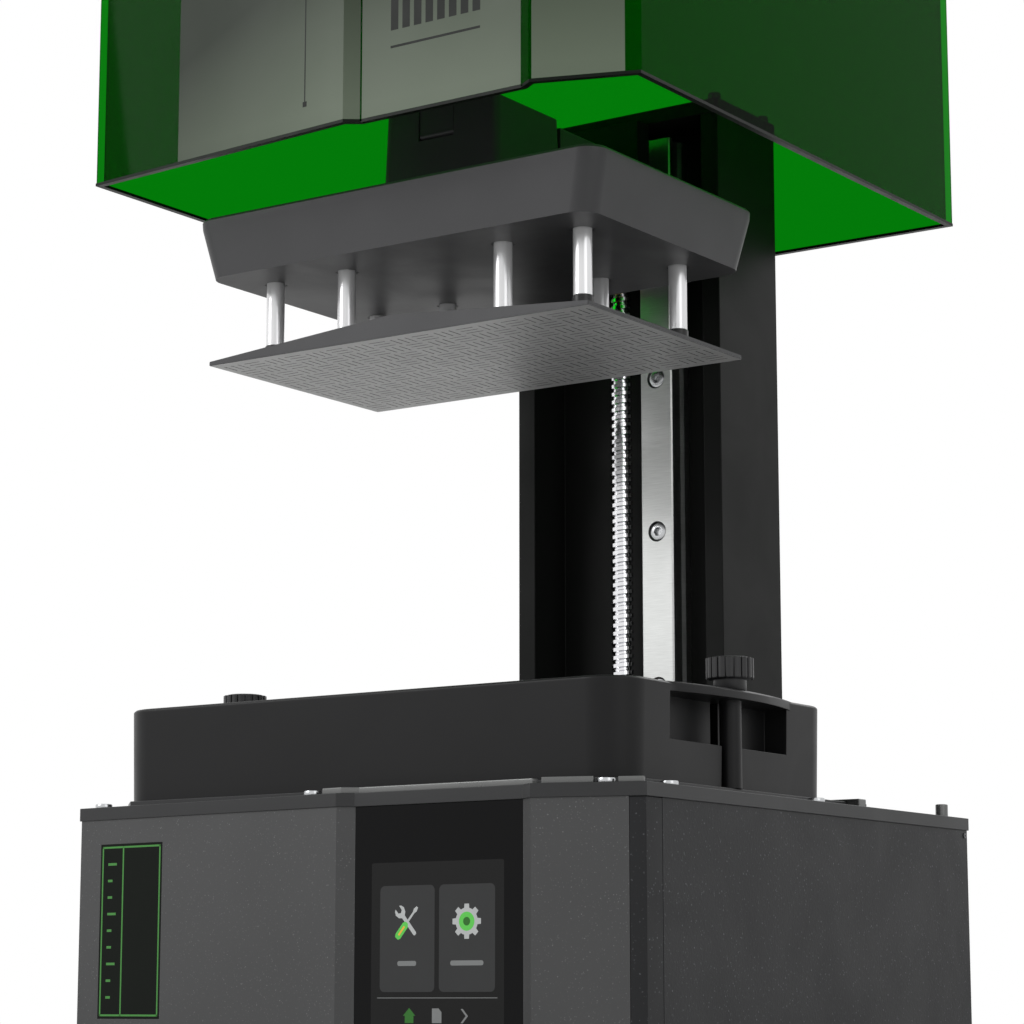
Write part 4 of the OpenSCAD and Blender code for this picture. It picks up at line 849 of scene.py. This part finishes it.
class OBJECT_OT_printer_light_engine(PrinterPiece, bpy.types.Operator):
    """Finishes the lamp board, heat sink, reflector, lens and masking screen"""
    bl_idname = "object.printer_light_engine"
    bl_label = "Light engine"

    def execute(self, context):
        dress(("mask_screen", "Screen glass"), ("collimating_lens", "Lens plastic"), ("led_board", "Lamp board"),
              ("light_box", "Sheet steel"), ("screen_glass", "Screen glass", 0.25),
              ("heat_sink", "Cast aluminium", 0.25))
        bm = bmesh.new()
        lathe(bm, [(0.95 * MM, 0.0), (0.9 * MM, 0.25 * MM), (0.6 * MM, 0.55 * MM), (0.2 * MM, 0.68 * MM)], steps=12)
        pitch, span, top = 2.7 * MM, range(-3, 4), high("led_board").z
        places = [Vector((i * pitch, PLATFORM_Y + j * pitch, top)) for i in span for j in span
                  if math.hypot(i, j) < 3.4]
        place(copies("led_lenses", bm, "Lamp lens", places), "base", "clear_film")
        return {"FINISHED"}


class OBJECT_OT_printer_electrics(PrinterPiece, bpy.types.Operator):
    """Finishes the boards, supply, fan, inlet, switch and socket"""
    bl_idname = "object.printer_electrics"
    bl_label = "Electrics"

    def execute(self, context):
        dress(("fan_frame", "Black plastic"), ("fan_rotor", "Black plastic"), ("mainboard", "Circuit board"),
              ("power_supply", "Sheet steel"), ("power_inlet", "Black plastic", 0.25),
              ("switch_frame", "Black plastic", 0.3), ("switch_rocker", "Rocker plastic", 0.35),
              ("usb_port", "Screw steel", 0.12))
        return {"FINISHED"}


class OBJECT_OT_printer_vat(PrinterPiece, bpy.types.Operator):
    """Finishes the vat, its release film and the film's frame"""
    bl_idname = "object.printer_vat"
    bl_label = "Vat"

    def execute(self, context):
        dress(("vat_body", "Vat coat", 0.7, 38), ("vat_film", "Release film"),
              ("vat_film_frame", "Cast aluminium", 0.25))
        return {"FINISHED"}


class OBJECT_OT_printer_knobs(PrinterPiece, bpy.types.Operator):
    """Makes the two ribbed thumb screws that hold the vat"""
    bl_idname = "object.printer_knobs"
    bl_label = "Thumb screws"

    def execute(self, context):
        settings = context.scene.printer_vat
        half, deep, edge = settings.rib_width / 2, 1.6 * MM, 0.25 * MM
        rib = [(-deep, -half), (-0.35 * MM, -half), (-0.08 * MM, -half * 0.72), (0.0, 0.0),
               (-0.08 * MM, half * 0.72), (-0.35 * MM, half), (-deep, half)]
        for side in ("left", "right"):
            node = side + "_thumb_knob"
            lo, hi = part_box(node)
            centre = Vector(((lo.x + hi.x) / 2, (lo.y + hi.y) / 2, lo.z))
            radius, height, collar = (hi.x - lo.x) / 2, hi.z - lo.z, KNOB_COLLAR
            root = radius - 0.9 * MM
            bm = bmesh.new()
            lathe(bm, [(7.35 * MM, 0.0), (7.75 * MM, 0.4 * MM), (7.75 * MM, collar - 0.3 * MM), (8.3 * MM, collar),
                       (root - 0.5 * MM, collar + 0.1 * MM), (root, collar + 0.6 * MM),
                       (root, height - 1.4 * MM), (root - 0.35 * MM, height - 0.8 * MM),
                       (radius - 2.6 * MM, height - 0.35 * MM), (radius - 3.2 * MM, height - 0.6 * MM),
                       (radius - 3.4 * MM, height - 1.1 * MM), (2.5 * MM, height - 1.15 * MM),
                       (0.4 * MM, height - 1.15 * MM)], centre, 72)
            place_like(make_object(node + "_core", bm, "Knob plastic", 50), node, node)
            bm = bmesh.new()
            prism(bm, rib, 0.0, height - collar - 1.2 * MM)
            rims = [e for e in bm.edges if abs(e.verts[0].co.z - e.verts[1].co.z) < 1e-9
                    and e.calc_length() < 0.002 and max(v.co.x for v in e.verts) > -0.001]
            bmesh.ops.bevel(bm, geom=rims, offset=edge, segments=2, affect="EDGES", clamp_overlap=True)
            pattern = make_object(node + "_rib", bm, "Knob plastic", 40)
            place_like(run_tree(node + "_ribs", "Ribs in a ring", [centre + Vector((0, 0, collar + 0.3 * MM))],
                                pattern=pattern, smooth=40, Count=settings.knob_ribs, Radius=radius,
                                Material=MATERIALS["Knob plastic"]), node)
            dress((side + "_thumb_screw", "Screw steel"))
        return {"FINISHED"}


class OBJECT_OT_printer_column(PrinterPiece, bpy.types.Operator):
    """Finishes the column, its cap, the guide rail, the bearings, the motor and the sensor"""
    bl_idname = "object.printer_column"
    bl_label = "Column"

    def execute(self, context):
        r = context.scene.printer_metal.edge_round / MM
        dress(("tower_body", "Column coat", r), ("tower_cap", "Column coat", r), ("guide_rail", "Rail steel", 0.15),
              ("screw_bearings", "Column coat", 0.4), ("limit_sensor", "Black plastic", 0.3),
              ("stepper_motor", "Column coat", 0.4))
        return {"FINISHED"}


class OBJECT_OT_printer_lead_screw(PrinterPiece, bpy.types.Operator):
    """Cuts the trapezoidal thread of the lead screw and makes its coupling"""
    bl_idname = "object.printer_lead_screw"
    bl_label = "Lead screw"

    def execute(self, context):
        settings = context.scene.printer_drive
        lo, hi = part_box("lead_screw")
        axis, crest = (lo + hi) / 2, (hi.x - lo.x) / 2
        root, lead, steps = crest - settings.thread_depth, settings.lead, 32
        around = (int((hi.z - lo.z) / lead) + 3) * steps
        section = ((0.00, root), (0.16, crest), (0.60, crest), (0.76, root))
        bm = bmesh.new()
        rows = []
        for j in range(around + 1):
            a = math.tau * j / steps
            rows.append([bm.verts.new((axis.x + r * math.cos(a), axis.y + r * math.sin(a),
                                       min(max(lo.z - 2 * lead + lead * (j / steps + share), lo.z), hi.z)))
                         for share, r in section])
        for j in range(around):
            for k in range(3):
                bm.faces.new((rows[j][k], rows[j + 1][k], rows[j + 1][k + 1], rows[j][k + 1]))
            if j + steps < around:
                bm.faces.new((rows[j][3], rows[j + 1][3], rows[j + 1 + steps][0], rows[j + steps][0]))
        bmesh.ops.remove_doubles(bm, verts=bm.verts, dist=1e-7)
        flat = [f for f in bm.faces if f.calc_area() < 1e-12
                or any(all(abs(v.co.z - z) < 1e-8 for v in f.verts) for z in (lo.z, hi.z))]
        bmesh.ops.delete(bm, geom=flat, context="FACES")
        bmesh.ops.holes_fill(bm, edges=[e for e in bm.edges if len(e.link_faces) == 1], sides=0)
        bmesh.ops.delete(bm, geom=[v for v in bm.verts if not v.link_faces], context="VERTS")
        place(make_object("lead_screw_thread", bm, "Thread steel", 32), "drive_screw", "steel", "lead_screw")
        dress(("shaft_coupling", "Cast aluminium", 0.5), ("motor_shaft", "Post chrome"))
        return {"FINISHED"}


class OBJECT_OT_printer_carriage(PrinterPiece, bpy.types.Operator):
    """Finishes the rail block, the nut, the carriage plate, the arm, the mounting block and its latch"""
    bl_idname = "object.printer_carriage"
    bl_label = "Carriage and arm"

    def execute(self, context):
        r = context.scene.printer_metal.edge_round / MM
        dress(("rail_block", "Block steel", r), ("screw_nut", "Screw brass", r), ("carriage_plate", "Column coat", r),
              ("z_arm", "Housing coat", r), ("mounting_block", "Housing coat", 0.45, 35),
              ("release_latch", "Housing coat", 0.4), ("latch_pin", "Screw steel"))
        return {"FINISHED"}


class OBJECT_OT_printer_platform(PrinterPiece, bpy.types.Operator):
    """Finishes the platform's housing, posts, caps, collars, bushes and springs"""
    bl_idname = "object.printer_platform"
    bl_label = "Platform housing and posts"

    def execute(self, context):
        dress(("platform_housing", "Housing coat", 0.8, 24, 3), ("post_bushes", "Black plastic", 0.3),
              ("post_collars", "Screw steel", 0.25), ("post_caps", "Post cap plastic", 0.35, 35))
        posts = node_parts("guide_posts")
        size = posts[0][2] - posts[0][1]
        radius, tall = size.x / 2, size.z
        bm = bmesh.new()
        lathe(bm, [(radius - 0.4 * MM, 0), (radius, 0.4 * MM), (radius, tall - 0.5 * MM),
                   (radius - 0.5 * MM, tall)], steps=64)
        places = [Vector((c.x, c.y, lo.z)) for c, lo, hi in posts]
        rods = copies("post_rods", bm, "Post chrome", places, smooth=30)
        place(rods, "build_plate", "chrome", "guide_posts")
        lo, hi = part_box("plate_springs")
        wire = SPRING_WIRE
        springs = run_tree("post_springs", "Coil springs", [Vector((p.x, p.y, lo.z + wire)) for p in places],
                           Turns=float(context.scene.printer_drive.spring_turns), Height=hi.z - lo.z - 2 * wire,
                           Radius=SPRING_R, Wire=wire, Material=MATERIALS["Screw steel"])
        springs.data.shade_smooth()
        place(springs, "carriage", "steel", "plate_springs")
        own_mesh(springs)
        return {"FINISHED"}


class OBJECT_OT_printer_face_plate(PrinterPiece, bpy.types.Operator):
    """Makes the face plate with its shallow roof and a basket weave of strokes engraved in its underside"""
    bl_idname = "object.printer_face_plate"
    bl_label = "Face plate"

    def execute(self, context):
        s = context.scene.printer_platform
        lo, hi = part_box("face_plate")
        half = (hi.x - lo.x) / 2
        roof = [(-half, 0), (half, 0), (half, FACE_EDGE), (0, hi.z - lo.z), (-half, FACE_EDGE)]
        bm = bmesh.new()
        prism(bm, roof, 0, hi.y - lo.y, upright(hi.y, lo.z))
        bmesh.ops.recalc_face_normals(bm, faces=bm.faces)
        round_edges(bm, 0.25 * MM, 30, profile=0.0)
        finishes = ["Housing coat", "Blasted aluminium", "Engraved groove"]
        for f in bm.faces:
            f.material_index = 1 if f.normal.z < -0.5 else 0
        plate = make_object("engraved_plate", bm, finishes, 30)
        bm = bmesh.new()
        cell, margin, last = STROKES_IN_A_CELL * s.stroke_pitch, 1.8 * MM, STROKES_IN_A_CELL - 1
        columns, rows = (int((b - a - 2 * margin) / cell) for a, b in ((lo.x, hi.x), (lo.y, hi.y)))
        for i in range(columns):
            for j in range(rows):
                centre = Vector((cell * (i - (columns - 1) / 2), PLATFORM_Y + cell * (j - (rows - 1) / 2)))
                size, step = Vector((s.stroke_width, STROKE_SHARE * cell)) / 2, Vector((s.stroke_pitch, 0))
                if (i + j) % 2:
                    size, step = size.yx, step.yx
                for k in range(STROKES_IN_A_CELL):
                    a = centre + step * (k - last / 2) - size
                    b = a + size * 2
                    prism(bm, rectangle(a.x, b.x, a.y, b.y), lo.z - 0.2 * MM, lo.z + s.stroke_depth)
        cutter = make_object("stroke_cutter", bm, finishes)
        for polygon in cutter.data.polygons:
            polygon.material_index = 2
        cut = plate.modifiers.new("Strokes", "BOOLEAN")
        cut.operation, cut.solver, cut.object = "DIFFERENCE", "EXACT", cutter
        plain_mesh(plate)
        if len(plate.data.polygons) < LEAST_ENGRAVED_FACES:
            raise RuntimeError("the strokes were not cut into the face plate")
        bpy.data.objects.remove(cutter)
        plate.data.set_sharp_from_angle(angle=math.radians(30))
        place(weighted(plate), "build_plate", "alu", "face_plate")
        return {"FINISHED"}


class OBJECT_OT_printer_cover(PrinterPiece, bpy.types.Operator):
    """Makes the transparent cover with its dark rim and its printed front"""
    bl_idname = "object.printer_cover"
    bl_label = "Cover"

    def execute(self, context):
        lo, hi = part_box("cover_shell")
        wall, roof, rim, foot = 3.0 * MM, 4.0 * MM, 1.5 * MM, 0.02 * MM

        def outline_ring(inward_by, z):
            return [(p.x, p.y, z) for p in inset(OUTLINE, inward_by)]

        bm = bmesh.new()
        skin(bm, [outline_ring(wall, hi.z - roof), outline_ring(wall, lo.z + 2 * foot),
                  outline_ring(0, lo.z + 2 * foot), outline_ring(0, hi.z)])
        bmesh.ops.recalc_face_normals(bm, faces=bm.faces)
        round_edges(bm, 0.6 * MM, 15, profile=0.0)
        shell = weighted(make_object("cover_acrylic", bm, "Green acrylic", 30))
        place(shell, "cover", "green_plastic", "cover_shell")

        bm = bmesh.new()
        proud, z0, z1 = 0.04 * MM, lo.z + foot, lo.z + rim + foot
        skin(bm, [outline_ring(-proud, z0), outline_ring(-proud, z1), outline_ring(wall + proud, z1),
                  outline_ring(wall + proud, z0)], loop=True)
        place(make_object("cover_rim", bm, "Cover rim", 30), "cover", "green_plastic")

        def on_face(points, near, far, z0, z1):
            """A thin layer over points of the outline, each an edge's number and a share of it."""
            sides = []
            for proud in (far, near):
                face = inset(OUTLINE, -proud)
                sides.append([face[i].lerp(face[(i + 1) % len(face)], share) for i, share in points])
            prism(bm, sides[0] + sides[1][::-1], z0, z1)

        bm = bmesh.new()
        z0, z1 = lo.z + rim + 0.1 * MM, hi.z - 6.0 * MM
        left = (INK_LEFT - HALF_W) / (OUTLINE[0].x - OUTLINE[1].x)
        for points in ([(0, left), (1, 0), (2, 0), (3, 0)], [(4, 0.025), (4, 0.86)]):
            on_face(points, 0.02 * MM, 0.07 * MM, z0, z1)
        place(make_object("cover_ink", bm, "Silver ink", 20), "cover", "print_ink", "cover_print")

        bm = bmesh.new()
        line_at = (HALF_W - LINE_X) * PANEL_SLANT / MM
        marks = [(0, line_at, 0.7, 15.0, (z1 - lo.z) / MM - 20), (0, line_at, 2.6, 12.6, 15.2)]
        marks += [(2, 19.8 + i * 6.8, 4.4, 42, 62) for i in range(8)] + [(2, 43.5, 52, 33.2, 34.4)]
        for edge, middle, width, bottom, top in marks:
            size = (OUTLINE[edge + 1] - OUTLINE[edge]).length / MM
            ends = [(edge, (middle + side * width / 2) / size) for side in (-1, 1)]
            on_face(ends, 0.05 * MM, 0.10 * MM, lo.z + bottom * MM, lo.z + top * MM)
        place(make_object("cover_marks", bm, "Cover mark", 20), "cover", "print_ink")
        return {"FINISHED"}


class OBJECT_OT_printer_stage(PrinterPiece, bpy.types.Operator):
    """Sets the pale floor, the soft lights, the world and the camera"""
    bl_idname = "object.printer_stage"
    bl_label = "Stage"

    def execute(self, context):
        scene = context.scene
        s = scene.printer_stage
        reach, plain = 2.4, 1.3  # the floor fades out between these radii
        bm = bmesh.new()
        bmesh.ops.create_circle(bm, cap_ends=True, segments=96, radius=reach)
        mesh = bpy.data.meshes.new("floor")
        bm.to_mesh(mesh)
        bm.free()
        material = bpy.data.materials.new("Floor")
        material.use_nodes = True
        tree = material.node_tree
        distance = add(tree, "ShaderNodeVectorMath", [add(tree, "ShaderNodeTexCoord").outputs["Object"]],
                       operation="LENGTH").outputs["Value"]
        finish(tree, (*s.floor_colour, 1), 0.6, Alpha=ramp(tree, distance, reach * 0.98, plain))
        mesh.materials.append(material)
        link_new("floor", mesh)

        world = scene.world = bpy.data.worlds.new("Studio")
        world.use_nodes = True
        tree = world.node_tree
        rays = add(tree, "ShaderNodeLightPath").outputs
        seen = calc(tree, "MAXIMUM", rays["Is Camera Ray"],
                    calc(tree, "MAXIMUM", rays["Is Transmission Ray"], rays["Is Glossy Ray"]))
        feed(tree, tree.nodes["Background"], {"Strength": between(tree, seen, (0.55, 1.0)), "Color": (1, 1, 1, 1)})

        target = Vector((0, 0, 0.4))
        for name, position, size, power in (
                ("Key light", (-1.6, -2.2, 1.8), (1.6, 1.6), s.key_power),
                ("Fill light", (2.4, -1.0, 1.3), (1.4, 1.8), s.fill_power),
                ("Back light", (0.3, 2.2, 1.9), (1.8, 1.0), s.fill_power * 1.5)):
            light = bpy.data.lights.new(name, "AREA")
            light.shape, light.size, light.size_y, light.energy = "RECTANGLE", *size, power
            lamp = link_new(name, light)
            lamp.location = position
            lamp.rotation_euler = (target - lamp.location).to_track_quat("-Z", "Y").to_euler()

        data = bpy.data.cameras.new("Camera")
        lens, sensor, tilt_up, turn_right = 100.8, 36.0, 9.69, 34.70
        data.lens, data.sensor_width = lens, sensor
        data.clip_start, data.clip_end = 0.05, 50
        camera = link_new("Camera", data)
        camera.location = (0.8217, -1.2011, 0.053)
        camera.rotation_euler = (math.radians(90 + tilt_up), 0, math.radians(turn_right))
        scene.camera = camera
        scene.view_settings.view_transform = "Standard"
        return {"FINISHED"}


class VIEW3D_PT_resin_printer(bpy.types.Panel):
    """Lists the printer's pieces and their settings"""
    bl_label = "Resin printer"
    bl_idname = "VIEW3D_PT_resin_printer"
    bl_space_type = "VIEW_3D"
    bl_region_type = "UI"
    bl_category = "Printer"

    def draw(self, context):
        layout = self.layout
        for operator in OPERATORS:
            layout.operator(operator.bl_idname)
        for name, group in SETTINGS.items():
            box = layout.box()
            for key in group.__annotations__:
                box.prop(getattr(context.scene, name), key)


OPERATORS = (
    OBJECT_OT_printer_finishes, OBJECT_OT_printer_stage, OBJECT_OT_printer_base, OBJECT_OT_printer_screws,
    OBJECT_OT_printer_display, OBJECT_OT_printer_badge, OBJECT_OT_printer_light_engine,
    OBJECT_OT_printer_electrics, OBJECT_OT_printer_vat, OBJECT_OT_printer_knobs, OBJECT_OT_printer_column,
    OBJECT_OT_printer_lead_screw, OBJECT_OT_printer_carriage, OBJECT_OT_printer_platform,
    OBJECT_OT_printer_face_plate, OBJECT_OT_printer_cover)


def register():
    for group in SETTINGS.values():
        bpy.utils.register_class(group)
    for name, group in SETTINGS.items():
        setattr(bpy.types.Scene, name, PointerProperty(type=group))
    for operator in OPERATORS:
        bpy.utils.register_class(operator)
    bpy.utils.register_class(VIEW3D_PT_resin_printer)


def unregister():
    bpy.utils.unregister_class(VIEW3D_PT_resin_printer)
    for operator in reversed(OPERATORS):
        bpy.utils.unregister_class(operator)
    for name in SETTINGS:
        delattr(bpy.types.Scene, name)
    for group in reversed(list(SETTINGS.values())):
        bpy.utils.unregister_class(group)


def main():
    register()
    for operator in OPERATORS:
        name = operator.bl_idname.split(".")[1]
        getattr(bpy.ops.object, name)()


if __name__ == "__main__":
    main()
